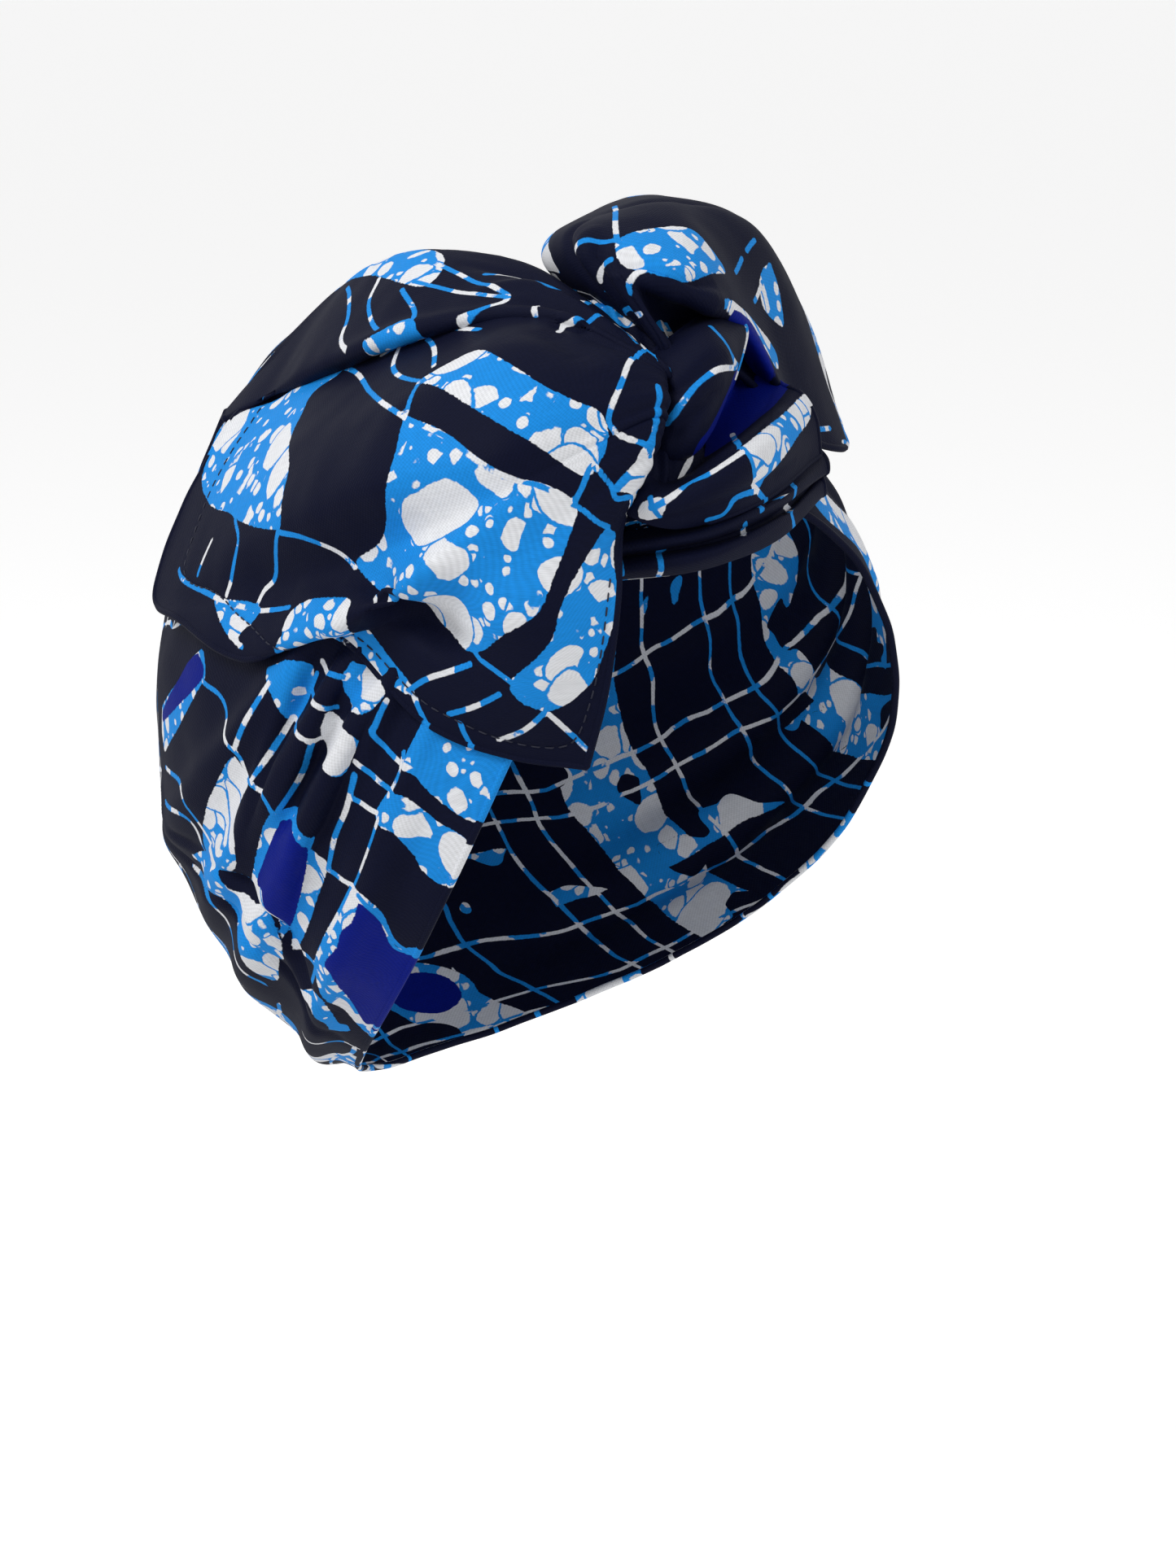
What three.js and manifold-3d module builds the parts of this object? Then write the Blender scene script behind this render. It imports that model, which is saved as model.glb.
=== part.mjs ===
// Wired head wrap: a wide cloth strip round the head, twisted at the front top, its two wired ends
// opened into a near wing and a far wing, with a small pouch and a forehead roll between them.
// Millimetres, +Z up, the wearer faces -Y, the wearer's right is -X.
// The origin is the middle of the head's hollow.
import * as THREE from 'three';
import Module from 'manifold-3d';

// Driving sizes
const headWidth = 178;
const headDepth = 228;
const headHeight = 220;
const clothThickness = 2;
const seatGap = 0.35;
const smallestEdge = 0.04;
const standOff = 50;
const pleatHeight = 5;
const knotWidth = 28;
const knotLobe = 0.12;
const knotTwist = 150;
const rootTuck = 0.45;
const clothColour = 0x1f3a6b;

// Grid counts, along the fold lines and across them
const bandGrid = { along: 60, across: 21 };
const nearGrid = { along: 14, across: 29 };
const farGrid = { along: 19, across: 15 };
const foldGrid = { along: 12, across: 23 };
const rollGrid = { along: 15, across: 13 };

// Turn is degrees round the head from the front (-Y), minus to the wearer's right.
// Tilt is degrees above the level plane. Lift is a share of standOff above the wrapped head.

// Rows of the band from its front edge to its rear edge
const bandRows = [
  {
    frontTilt: 42, sideTurn: 56, sideTilt: -12, backTilt: -72,
    frontLift: 0.02, sideLift: 0.02, backLift: 0.02,
  },
  { frontTilt: 48, sideTurn: 70, sideTilt: -8, backTilt: -56, frontLift: 0.04, sideLift: 0, backLift: 0.1 },
  { frontTilt: 54, sideTurn: 82, sideTilt: 0, backTilt: -32, frontLift: 0.04, sideLift: 0, backLift: 0.08 },
  { frontTilt: 60, sideTurn: 89, sideTilt: 13, backTilt: -7, frontLift: 0.04, sideLift: 0, backLift: 0.02 },
  { frontTilt: 66, sideTurn: 93, sideTilt: 28, backTilt: 18, frontLift: 0.04, sideLift: 0, backLift: 0 },
  { frontTilt: 72, sideTurn: 100, sideTilt: 47, backTilt: 48, frontLift: 0.02, sideLift: 0, backLift: 0 },
];

// Lengthwise pleats of the band; fromAcross and toAcross are shares across the cloth at the two ends
const bandPleats = [
  { from: 25, to: 125, fromAcross: 0.24, toAcross: 0.12, width: 0.035, height: 0.7 },
  { from: 25, to: 150, fromAcross: 0.36, toAcross: 0.22, width: 0.04, height: 1 },
  { from: 25, to: 140, fromAcross: 0.48, toAcross: 0.32, width: 0.035, height: 0.8 },
  { from: 30, to: 160, fromAcross: 0.6, toAcross: 0.42, width: 0.04, height: 0.7 },
  { from: 60, to: 185, fromAcross: 0.14, toAcross: 0.06, width: 0.03, height: 0.8 },
  { from: 200, to: 330, fromAcross: 0.16, toAcross: 0.26, width: 0.04, height: 0.8 },
  { from: 215, to: 335, fromAcross: 0.3, toAcross: 0.44, width: 0.04, height: 0.9 },
  { from: 190, to: 330, fromAcross: 0.46, toAcross: 0.6, width: 0.04, height: 0.6 },
];

// Fold lines of each opened end: root is a share along the throat line, then the stations outwards
const nearThroat = [
  { turn: -29, tilt: 35, lift: 0.4 },
  { turn: -24, tilt: 43, lift: 0.7 },
  { turn: -18, tilt: 51, lift: 0.62 },
];
const nearFolds = [
  { fold: 'right edge', root: 0, turn: [-31, -33, -35], tilt: [27, 18, 10], lift: [0.44, 0.32, 0.16] },
  { fold: 'tip side', root: 0.08, turn: [-37, -41, -44], tilt: [26, 18, 11], lift: [0.52, 0.36, 0.12] },
  { fold: 'lower', root: 0.18, turn: [-42, -48, -55], tilt: [26, 21, 14], lift: [0.58, 0.34, 0.13] },
  { fold: 'pinch', root: 0.29, turn: [-45, -55, -69], tilt: [29, 26, 23], lift: [0.6, 0.28, 0.15] },
  { fold: 'lower lobe', root: 0.4, turn: [-47, -61, -83], tilt: [32, 25, 18], lift: [0.68, 0.44, 0.13] },
  { fold: 'dip', root: 0.5, turn: [-46, -63, -100], tilt: [35, 31, 20], lift: [0.68, 0.32, 0.09] },
  { fold: 'panel', root: 0.6, turn: [-46, -67, -115], tilt: [38, 35, 21], lift: [0.78, 0.52, 0.05] },
  { fold: 'panel top', root: 0.71, turn: [-44, -68, -121], tilt: [43, 43, 34], lift: [0.8, 0.49, 0.03] },
  { fold: 'front crest', root: 0.81, turn: [-41, -64, -125], tilt: [50, 50, 46], lift: [0.76, 0.44, 0.05] },
  { fold: 'valley', root: 0.87, turn: [-36, -64, -128], tilt: [57, 61, 49], lift: [0.57, 0.31, 0.04] },
  { fold: 'rear crest', root: 0.92, turn: [-37, -76, -132], tilt: [60, 60, 46], lift: [0.57, 0.33, 0.07] },
  { fold: 'back roll', root: 0.96, turn: [-36, -112, -136], tilt: [70, 74, 46], lift: [0.47, 0.36, 0.08] },
  { fold: 'rear', root: 0.98, turn: [-74, -140, -130], tilt: [84, 62, 40], lift: [0.32, 0.18, 0.02] },
  { fold: 'rear hem', root: 1, turn: [-110, -150, -122], tilt: [87, 54, 30], lift: [0.2, 0.08, -0.01] },
];

const farThroat = [
  { turn: -13, tilt: 52, lift: 0.6 },
  { turn: -14, tilt: 54, lift: 0.56 },
  { turn: -10, tilt: 60, lift: 0.46 },
];
const farFolds = [
  {
    fold: 'under', root: 0, turn: [-10, 1, 11, 25, 38],
    tilt: [58, 59, 58, 53, 46],
    lift: [0.5, 0.48, 0.46, 0.31, 0.15],
  },
  {
    fold: 'ridge', root: 0.18, turn: [-18, -12, -3, 11, 31],
    tilt: [58, 57, 56, 55, 47],
    lift: [0.76, 0.82, 0.74, 0.58, 0.24],
  },
  {
    fold: 'patch', root: 0.36, turn: [-22, -10, 8, 27, 40],
    tilt: [61, 64, 63, 57, 44],
    lift: [0.76, 0.83, 0.81, 0.53, 0.18],
  },
  {
    fold: 'crown', root: 0.58, turn: [-24, -4, 26, 46, 46],
    tilt: [66, 71, 69, 59, 40],
    lift: [0.71, 0.73, 0.79, 0.76, 0.2],
  },
  {
    fold: 'rear', root: 0.8, turn: [-22, 27, 67, 67, 55],
    tilt: [73, 80, 69, 52, 36],
    lift: [0.44, 0.5, 0.73, 0.72, 0.31],
  },
  {
    fold: 'rear hem', root: 1, turn: [16, 86, 89, 75, 64],
    tilt: [79, 73, 58, 45, 36],
    lift: [0.24, 0.41, 0.77, 0.66, 0.41],
  },
];

const foldThroat = [
  { turn: -27, tilt: 36, lift: 0.4 },
  { turn: -22, tilt: 43, lift: 0.5 },
  { turn: -16, tilt: 53, lift: 0.55 },
];
const frontFolds = [
  { fold: 'flap hem', root: 0, turn: [-19, -4, 26], tilt: [35, 37, 41], lift: [0.36, 0.34, 0.24] },
  { fold: 'flap', root: 0.1, turn: [-21, -8, 22], tilt: [36, 39, 44], lift: [0.5, 0.57, 0.38] },
  { fold: 'rim', root: 0.2, turn: [-20, -7, 21], tilt: [38, 42, 47], lift: [0.5, 0.53, 0.42] },
  { fold: 'inside', root: 0.3, turn: [-15, 3, 27], tilt: [42, 46, 50], lift: [0.28, 0.31, 0.32] },
  { fold: 'deep', root: 0.42, turn: [-6, 14, 33], tilt: [47, 52, 55], lift: [0.18, 0.17, 0.3] },
  { fold: 'back', root: 0.52, turn: [-12, 4, 24], tilt: [46, 51, 57], lift: [0.26, 0.22, 0.3] },
  { fold: 'low roll', root: 0.6, turn: [-19, -13, 5], tilt: [42, 43, 51], lift: [0.43, 0.46, 0.32] },
  { fold: 'high roll', root: 0.74, turn: [-18, -9, 10], tilt: [45, 48, 54], lift: [0.64, 0.69, 0.54] },
  { fold: 'roll top', root: 0.88, turn: [-16, -6, 12], tilt: [50, 53, 56], lift: [0.65, 0.68, 0.56] },
  { fold: 'valley', root: 1, turn: [-12, 0, 16], tilt: [54, 57, 58], lift: [0.56, 0.56, 0.53] },
];

// Lines of the forehead roll, from the knot's side to the far side
const rollLines = [
  { line: 'inner low', turn: [-22, -7, 9, 28], tilt: [36, 37, 38, 39], lift: [0.1, 0.09, 0.08, 0.08] },
  { line: 'low edge', turn: [-27, -14, 3, 27], tilt: [32, 32, 34, 37], lift: [0.09, 0.16, 0.15, 0.13] },
  { line: 'low bulge', turn: [-28, -16, 0, 25], tilt: [32, 32, 35, 38], lift: [0.2, 0.32, 0.27, 0.18] },
  { line: 'crease', turn: [-27, -14, 2, 27], tilt: [34, 34, 36, 39], lift: [0.14, 0.25, 0.22, 0.18] },
  { line: 'high bulge', turn: [-28, -16, 0, 26], tilt: [34, 34, 37, 39], lift: [0.25, 0.37, 0.32, 0.23] },
  { line: 'top', turn: [-26, -14, 2, 29], tilt: [36, 36, 38, 41], lift: [0.2, 0.29, 0.28, 0.23] },
  { line: 'inner high', turn: [-20, -9, 7, 30], tilt: [43, 44, 45, 46], lift: [0.14, 0.13, 0.13, 0.14] },
];

// The knot's wound core: its two ends, and its width at shares along it
const knotEnds = [
  { turn: -22, tilt: 40, lift: 0.27 },
  { turn: -12, tilt: 60, lift: 0.27 },
];
const knotSections = [
  { along: -0.16, width: 0.45 },
  { along: 0, width: 0.86 },
  { along: 0.25, width: 1 },
  { along: 0.5, width: 0.94 },
  { along: 0.75, width: 1 },
  { along: 1, width: 0.84 },
  { along: 1.14, width: 0.45 },
];

const wasm = await Module();
wasm.setup();

function onHead(turn, tilt, lift) {
  const a = THREE.MathUtils.degToRad(turn);
  const e = THREE.MathUtils.degToRad(tilt);
  const p = new THREE.Vector3(
    0.5 * headWidth * Math.sin(a) * Math.cos(e),
    -0.5 * headDepth * Math.cos(a) * Math.cos(e),
    0.5 * headHeight * Math.sin(e),
  );
  return p.multiplyScalar(1 + (lift * standOff) / p.length());
}

function spot(row) {
  return onHead(row.turn, row.tilt, row.lift);
}

// Smooth curve through the given values; values are arrays of numbers
function smooth(values, count) {
  const last = values.length - 1;
  const size = values[0].length;
  const before = values[0].map((v, k) => 2 * v - values[1][k]);
  const after = values[last].map((v, k) => 2 * v - values[last - 1][k]);
  const padded = [before, ...values, after];
  const out = [];
  for (let i = 0; i < count; i += 1) {
    const t = (i * last) / (count - 1);
    const k = Math.min(Math.floor(t), last - 1);
    const f = t - k;
    const point = [];
    for (let c = 0; c < size; c += 1) {
      const [p0, p1, p2, p3] = [0, 1, 2, 3].map((n) => padded[k + n][c]);
      point.push(0.5 * (2 * p1 + (p2 - p0) * f + (2 * p0 - 5 * p1 + 4 * p2 - p3) * f * f
        + (3 * p1 - p0 - 3 * p2 + p3) * f * f * f));
    }
    out.push(point);
  }
  return out;
}

// Net of points from fold lines: smooth along each line, then smooth across the lines
function net(lines, grid) {
  const along = lines.map((line) => smooth(line.map((p) => p.toArray()), grid.along));
  const columns = [];
  for (let i = 0; i < grid.along; i += 1) {
    columns.push(smooth(along.map((line) => line[i]), grid.across));
  }
  const rows = [];
  for (let j = 0; j < grid.across; j += 1) {
    rows.push(columns.map((column) => new THREE.Vector3(...column[j])));
  }
  return rows;
}

function throatPoint(throat, share) {
  const [a, b, c] = throat.map(spot);
  const p = a.multiplyScalar((1 - share) * (1 - 2 * share));
  p.addScaledVector(b, 4 * share * (1 - share));
  return p.addScaledVector(c, share * (2 * share - 1));
}

// Point on the knot's axis level with a point of a throat
function coreBeside(point) {
  const [low, high] = knotEnds.map(spot);
  const axis = high.clone().sub(low);
  const share = THREE.MathUtils.clamp(point.clone().sub(low).dot(axis) / axis.lengthSq(), 0, 1);
  return low.addScaledVector(axis, share);
}

// An opened end of the strip: its fold lines fan out from the throat, their roots tucked into the knot
function fan(throat, folds, grid) {
  const lines = folds.map((row) => {
    const start = throatPoint(throat, row.root);
    const root = start.clone().lerp(coreBeside(start), rootTuck);
    const stations = row.turn.map((turn, k) => onHead(turn, row.tilt[k], row.lift[k]));
    return [root, start, ...stations];
  });
  return net(lines, grid);
}

function rollNet() {
  const lines = rollLines.map((row) => row.turn.map((turn, k) => onHead(turn, row.tilt[k], row.lift[k])));
  return net(lines, rollGrid);
}

function pleatAt(round, across) {
  let height = 0;
  for (const pleat of bandPleats) {
    const t = (round - pleat.from) / (pleat.to - pleat.from);
    if (t > 0 && t < 1) {
      const centre = pleat.fromAcross + (pleat.toAcross - pleat.fromAcross) * t;
      const ridge = Math.exp(-(((across - centre) / pleat.width) ** 2));
      height += pleat.height * ridge * Math.min(1, 4 * t, 4 * (1 - t));
    }
  }
  return height * pleatHeight;
}

// Every row of the band is a closed loop through its front, side and back points
function bandNet() {
  const keys = ['frontTilt', 'sideTurn', 'sideTilt', 'backTilt', 'frontLift', 'sideLift', 'backLift'];
  const rows = smooth(bandRows.map((row) => keys.map((key) => row[key])), bandGrid.across);
  return rows.map(([frontTilt, sideTurn, sideTilt, backTilt, frontLift, sideLift, backLift], j) => {
    const front = onHead(0, frontTilt, frontLift);
    const side = onHead(sideTurn, sideTilt, sideLift);
    const back = onHead(180, backTilt, backLift);
    const loop = [];
    for (let i = 0; i < bandGrid.along; i += 1) {
      const round = (360 * i) / bandGrid.along;
      const a = THREE.MathUtils.degToRad(round);
      const blend = (f, s, b) => (f + b + 2 * s) / 4 + ((f - b) / 2) * Math.cos(a)
        + ((f + b - 2 * s) / 4) * Math.cos(2 * a);
      const p = new THREE.Vector3(
        -side.x * Math.sin(a),
        blend(front.y, side.y, back.y),
        blend(front.z, side.z, back.z),
      );
      const rise = pleatAt(round, j / (bandGrid.across - 1));
      loop.push(p.multiplyScalar(1 + rise / p.length()));
    }
    return loop;
  });
}

// Closed wall of the given thickness standing evenly on both sides of a net, joined from small
// three-sided blocks so that tight folds stay one sound solid
function wall(rows, thickness, closed) {
  const across = rows.length;
  const along = rows[0].length;
  const wrapped = (i) => (closed ? (i + along) % along : THREE.MathUtils.clamp(i, 0, along - 1));
  const at = (j, i) => rows[THREE.MathUtils.clamp(j, 0, across - 1)][wrapped(i)];
  const pair = (j, i) => {
    const run = at(j, i + 1).clone().sub(at(j, i - 1));
    const rise = at(j + 1, i).clone().sub(at(j - 1, i));
    const half = run.cross(rise).setLength(thickness / 2);
    return [at(j, i).clone().add(half), at(j, i).clone().sub(half)];
  };
  const blocks = [];
  const block = (corners) => {
    const points = corners.flatMap(([j, i]) => pair(j, i)).map((p) => p.toArray());
    blocks.push(wasm.Manifold.hull(points));
  };
  for (let j = 0; j < across - 1; j += 1) {
    for (let i = 0; i < (closed ? along : along - 1); i += 1) {
      block([[j, i], [j, i + 1], [j + 1, i + 1]]);
      block([[j, i], [j + 1, i + 1], [j + 1, i]]);
    }
  }
  return wasm.Manifold.union(blocks).asOriginal().simplify(smallestEdge);
}

// The wound core, a lobed and twisted round of the given extra width
function core(extra) {
  const [low, high] = knotEnds.map(spot);
  const axis = high.clone().sub(low);
  const out = low.clone().add(high).normalize();
  const sideways = new THREE.Vector3().crossVectors(axis, out).normalize();
  const forwards = new THREE.Vector3().crossVectors(axis, sideways).normalize();
  const sections = smooth(knotSections.map((row) => [row.along, row.width]), 13);
  const round = 20;
  const points = [];
  for (const [along, width] of sections) {
    for (let i = 0; i < round; i += 1) {
      const a = (2 * Math.PI * i) / round;
      const lobe = 1 + knotLobe * Math.cos(2 * a + THREE.MathUtils.degToRad(knotTwist) * along);
      const radius = (width * knotWidth * lobe) / 2 + extra;
      const p = low.clone().addScaledVector(axis, along);
      p.addScaledVector(sideways, radius * Math.cos(a));
      points.push(p.addScaledVector(forwards, radius * Math.sin(a)));
    }
  }
  const last = sections.length - 1;
  points.push(low.clone().addScaledVector(axis, sections[0][0] - 0.04 - extra / axis.length()));
  points.push(low.clone().addScaledVector(axis, sections[last][0] + 0.04 + extra / axis.length()));
  const faces = [];
  for (let i = 0; i < round; i += 1) {
    const n = (i + 1) % round;
    for (let k = 0; k < last; k += 1) {
      const [a, b, c, d] = [k * round + i, k * round + n, (k + 1) * round + n, (k + 1) * round + i];
      faces.push(a, b, c, a, c, d);
    }
    faces.push(points.length - 2, n, i);
    faces.push(points.length - 1, last * round + i, last * round + n);
  }
  return body(points, faces);
}

function body(points, faces) {
  const vertProperties = new Float32Array(points.flatMap((p) => p.toArray()));
  const triVerts = new Uint32Array(faces);
  return new wasm.Manifold(new wasm.Mesh({ numProp: 3, vertProperties, triVerts }));
}

function largest(solid) {
  const parts = solid.decompose();
  parts.sort((a, b) => b.volume() - a.volume());
  return parts[0].asOriginal().simplify(smallestEdge);
}

function cut(solid, others) {
  let left = solid;
  for (const other of others) {
    left = left.subtract(other);
  }
  return largest(left);
}

function meshOf(name, solid) {
  const shape = solid.getMesh();
  const geometry = new THREE.BufferGeometry();
  geometry.setAttribute('position', new THREE.BufferAttribute(Float32Array.from(shape.vertProperties), 3));
  geometry.setIndex(Array.from(shape.triVerts));
  geometry.computeVertexNormals();
  const material = new THREE.MeshStandardMaterial({ color: clothColour, roughness: 0.85, metalness: 0 });
  const mesh = new THREE.Mesh(geometry, material);
  mesh.name = name;
  return mesh;
}

const grown = clothThickness + 2 * seatGap;
const nets = {
  band: bandNet(),
  near: fan(nearThroat, nearFolds, nearGrid),
  far: fan(farThroat, farFolds, farGrid),
  front: fan(foldThroat, frontFolds, foldGrid),
  roll: rollNet(),
};

const bandClear = wall(nets.band, grown, true);
const knotClear = core(seatGap);
const nearClear = wall(nets.near, grown, false);
const frontClear = wall(nets.front, grown, false);
const rollClear = wall(nets.roll, grown, false);

const headBand = wall(nets.band, clothThickness, true);
const twistKnot = cut(core(0), [bandClear]);
const nearWing = cut(wall(nets.near, clothThickness, false), [bandClear, knotClear]);
const frontFold = cut(
  wall(nets.front, clothThickness, false),
  [bandClear, knotClear, nearClear, nearWing],
);
const foreheadRoll = cut(
  wall(nets.roll, clothThickness, false),
  [bandClear, knotClear, nearClear, frontClear, nearWing, frontFold],
);
const farWing = cut(
  wall(nets.far, clothThickness, false),
  [bandClear, knotClear, nearClear, frontClear, rollClear, nearWing, frontFold, foreheadRoll],
);

const wrap = new THREE.Group();
wrap.name = 'wired_head_wrap';
wrap.add(meshOf('head_band', headBand));
wrap.add(meshOf('twist_knot', twistKnot));
wrap.add(meshOf('near_wing', nearWing));
wrap.add(meshOf('far_wing', farWing));
wrap.add(meshOf('front_fold', frontFold));
wrap.add(meshOf('forehead_roll', foreheadRoll));

export default wrap;
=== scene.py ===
# Wired head wrap: a strip of wax-print cotton wound round the head, with two wired ends and a pouch
import math

import bpy
import numpy as np
from mathutils import Matrix, Vector
from mathutils.kdtree import KDTree


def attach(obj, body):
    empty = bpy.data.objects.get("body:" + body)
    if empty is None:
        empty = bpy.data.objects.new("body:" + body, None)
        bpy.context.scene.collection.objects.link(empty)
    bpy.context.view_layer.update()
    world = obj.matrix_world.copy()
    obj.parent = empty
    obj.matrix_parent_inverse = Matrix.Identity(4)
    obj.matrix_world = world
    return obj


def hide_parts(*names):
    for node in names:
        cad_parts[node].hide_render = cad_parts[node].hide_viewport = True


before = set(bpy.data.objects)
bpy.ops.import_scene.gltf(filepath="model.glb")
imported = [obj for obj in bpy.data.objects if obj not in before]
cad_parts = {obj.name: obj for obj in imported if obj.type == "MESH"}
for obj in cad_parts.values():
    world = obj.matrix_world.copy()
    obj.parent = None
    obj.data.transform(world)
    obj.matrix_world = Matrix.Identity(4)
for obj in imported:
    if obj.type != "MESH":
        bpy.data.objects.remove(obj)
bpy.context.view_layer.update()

# Sizes in millimetres, turned into metres where the meshes are made
HEAD = np.array((178, 228, 220)) / 2
STAND_OFF = 50
PLEAT_HEIGHT = 5
ROOT_TUCK = 0.45
KNOT_WIDTH = 28
CLOTH_THICKNESS = 1.2
HEM_RADIUS, HEM_SIDES = 1.0, 8
# Share of the hem's radius left at its two ends, and its steps that lie tucked in at the first row
HEM_END, TUCKED_STEPS = 0.4, 40
THREAD = 0.5
STITCH, STITCH_GAP = 2.3, 0.9
STITCH_RADIUS, STITCH_RISE, STITCH_DIP, STITCH_SIDES = 0.22, 0.12, 0.25, 5
# Print: line width, how far the open areas spread under their lines, and a distance past every edge
LINE_WIDTH, AREA_SPREAD, FAR_OFF = 1.35, 0.6, 9.0
PLAID_ALONG, PLAID_ACROSS = 86, 74

# Camera of the picture: turn, height and lean in degrees, then its distance, lens and middle
CAMERA_TURN, CAMERA_HEIGHT, CAMERA_LEAN = -39, 16.5, -1
CAMERA_DISTANCE = 0.75
CAMERA_AIM = Vector((0, -0.010, -0.008))
PICTURE_WIDTH, PICTURE_HEIGHT = 1445, 1927
LENS_PIXELS = 3450
MIDDLE_X, MIDDLE_Y = 645, 934

# Shape of the band: front tilt, side turn, side tilt, back tilt, then front, side and back lift
BAND_ROWS = (
    (42, 56, -12, -72, 0.02, 0.02, 0.02),
    (48, 70, -8, -56, 0.04, 0.0, 0.1),
    (54, 82, 0, -32, 0.04, 0.0, 0.08),
    (60, 89, 13, -7, 0.04, 0.0, 0.02),
    (66, 93, 28, 18, 0.04, 0.0, 0.0),
    (72, 100, 47, 48, 0.02, 0.0, 0.0),
)
# Pleats of the band: degrees round from and to, share across at each end, width, height
BAND_PLEATS = (
    (25, 125, 0.24, 0.12, 0.035, 0.7),
    (25, 150, 0.36, 0.22, 0.04, 1.0),
    (25, 140, 0.48, 0.32, 0.035, 0.8),
    (30, 160, 0.6, 0.42, 0.04, 0.7),
    (60, 185, 0.14, 0.06, 0.03, 0.8),
    (200, 330, 0.16, 0.26, 0.04, 0.8),
    (215, 335, 0.3, 0.44, 0.04, 0.9),
    (190, 330, 0.46, 0.6, 0.04, 0.6),
)
# Throats: turn, tilt, lift at the low side, the middle and the high side of the gather
# Folds: share along the throat, then turns, tilts and lifts at the stations out to the hem
NEAR_THROAT = ((-29, 35, 0.4), (-24, 43, 0.7), (-18, 51, 0.62))
NEAR_FOLDS = (
    (0, (-31, -33, -35), (27, 18, 10), (0.44, 0.32, 0.16)),
    (0.08, (-37, -41, -44), (26, 18, 11), (0.52, 0.36, 0.12)),
    (0.18, (-42, -48, -55), (26, 21, 14), (0.58, 0.34, 0.13)),
    (0.29, (-45, -55, -69), (29, 26, 23), (0.6, 0.28, 0.15)),
    (0.4, (-47, -61, -83), (32, 25, 18), (0.68, 0.44, 0.13)),
    (0.5, (-46, -63, -100), (35, 31, 20), (0.68, 0.32, 0.09)),
    (0.6, (-46, -67, -115), (38, 35, 21), (0.78, 0.52, 0.05)),
    (0.71, (-44, -68, -121), (43, 43, 34), (0.8, 0.49, 0.03)),
    (0.81, (-41, -64, -125), (50, 50, 46), (0.76, 0.44, 0.05)),
    (0.87, (-36, -64, -128), (57, 61, 49), (0.57, 0.31, 0.04)),
    (0.92, (-37, -76, -132), (60, 60, 46), (0.57, 0.33, 0.07)),
    (0.96, (-36, -112, -136), (70, 74, 46), (0.47, 0.36, 0.08)),
    (0.98, (-74, -140, -130), (84, 62, 40), (0.32, 0.18, 0.02)),
    (1, (-110, -150, -122), (87, 54, 30), (0.2, 0.08, -0.01)),
)
FAR_THROAT = ((-13, 52, 0.6), (-14, 54, 0.56), (-10, 60, 0.46))
FAR_FOLDS = (
    (0, (-10, 1, 11, 25, 38), (58, 59, 58, 53, 46), (0.5, 0.48, 0.46, 0.31, 0.15)),
    (0.18, (-18, -12, -3, 11, 31), (58, 57, 56, 55, 47), (0.76, 0.82, 0.74, 0.58, 0.24)),
    (0.36, (-22, -10, 8, 27, 40), (61, 64, 63, 57, 44), (0.76, 0.83, 0.81, 0.53, 0.18)),
    (0.58, (-24, -4, 26, 46, 46), (66, 71, 69, 59, 40), (0.71, 0.73, 0.79, 0.76, 0.2)),
    (0.8, (-22, 27, 67, 67, 55), (73, 80, 69, 52, 36), (0.44, 0.5, 0.73, 0.72, 0.31)),
    (1, (16, 86, 89, 75, 64), (79, 73, 58, 45, 36), (0.24, 0.41, 0.77, 0.66, 0.41)),
)
FOLD_THROAT = ((-27, 36, 0.4), (-22, 43, 0.5), (-16, 53, 0.55))
FRONT_FOLDS = (
    (0, (-19, -4, 26), (35, 37, 41), (0.36, 0.34, 0.24)),
    (0.1, (-21, -8, 22), (36, 39, 44), (0.5, 0.57, 0.38)),
    (0.2, (-20, -7, 21), (38, 42, 47), (0.5, 0.53, 0.42)),
    (0.3, (-15, 3, 27), (42, 46, 50), (0.28, 0.31, 0.32)),
    (0.42, (-6, 14, 33), (47, 52, 55), (0.18, 0.17, 0.3)),
    (0.52, (-12, 4, 24), (46, 51, 57), (0.26, 0.22, 0.3)),
    (0.6, (-19, -13, 5), (42, 43, 51), (0.43, 0.46, 0.32)),
    (0.74, (-18, -9, 10), (45, 48, 54), (0.64, 0.69, 0.54)),
    (0.88, (-16, -6, 12), (50, 53, 56), (0.65, 0.68, 0.56)),
    (1, (-12, 0, 16), (54, 57, 58), (0.56, 0.56, 0.53)),
)
# Lines of the forehead rolls: turns, tilts and lifts from the knot to the far side
ROLL_LINES = (
    ((-22, -7, 9, 28), (36, 37, 38, 39), (0.1, 0.09, 0.08, 0.08)),
    ((-27, -14, 3, 27), (32, 32, 34, 37), (0.09, 0.16, 0.15, 0.13)),
    ((-28, -16, 0, 25), (32, 32, 35, 38), (0.2, 0.32, 0.27, 0.18)),
    ((-27, -14, 2, 27), (34, 34, 36, 39), (0.14, 0.25, 0.22, 0.18)),
    ((-28, -16, 0, 26), (34, 34, 37, 39), (0.25, 0.37, 0.32, 0.23)),
    ((-26, -14, 2, 29), (36, 36, 38, 41), (0.2, 0.29, 0.28, 0.23)),
    ((-20, -9, 7, 30), (43, 44, 45, 46), (0.14, 0.13, 0.13, 0.14)),
)
KNOT_ENDS = ((-22, 40, 0.27), (-12, 60, 0.27))
KNOT_LOBE, KNOT_TWIST = 0.12, 150
KNOT_PLAID_SHIFT = (70, 4)
# Knot sections: share along the knot and share of its width
KNOT_SECTIONS = (
    (-0.16, 0.45), (0, 0.86), (0.25, 1), (0.5, 0.94), (0.75, 1), (1, 0.92), (1.25, 0.8), (1.42, 0.4),
)

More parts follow.
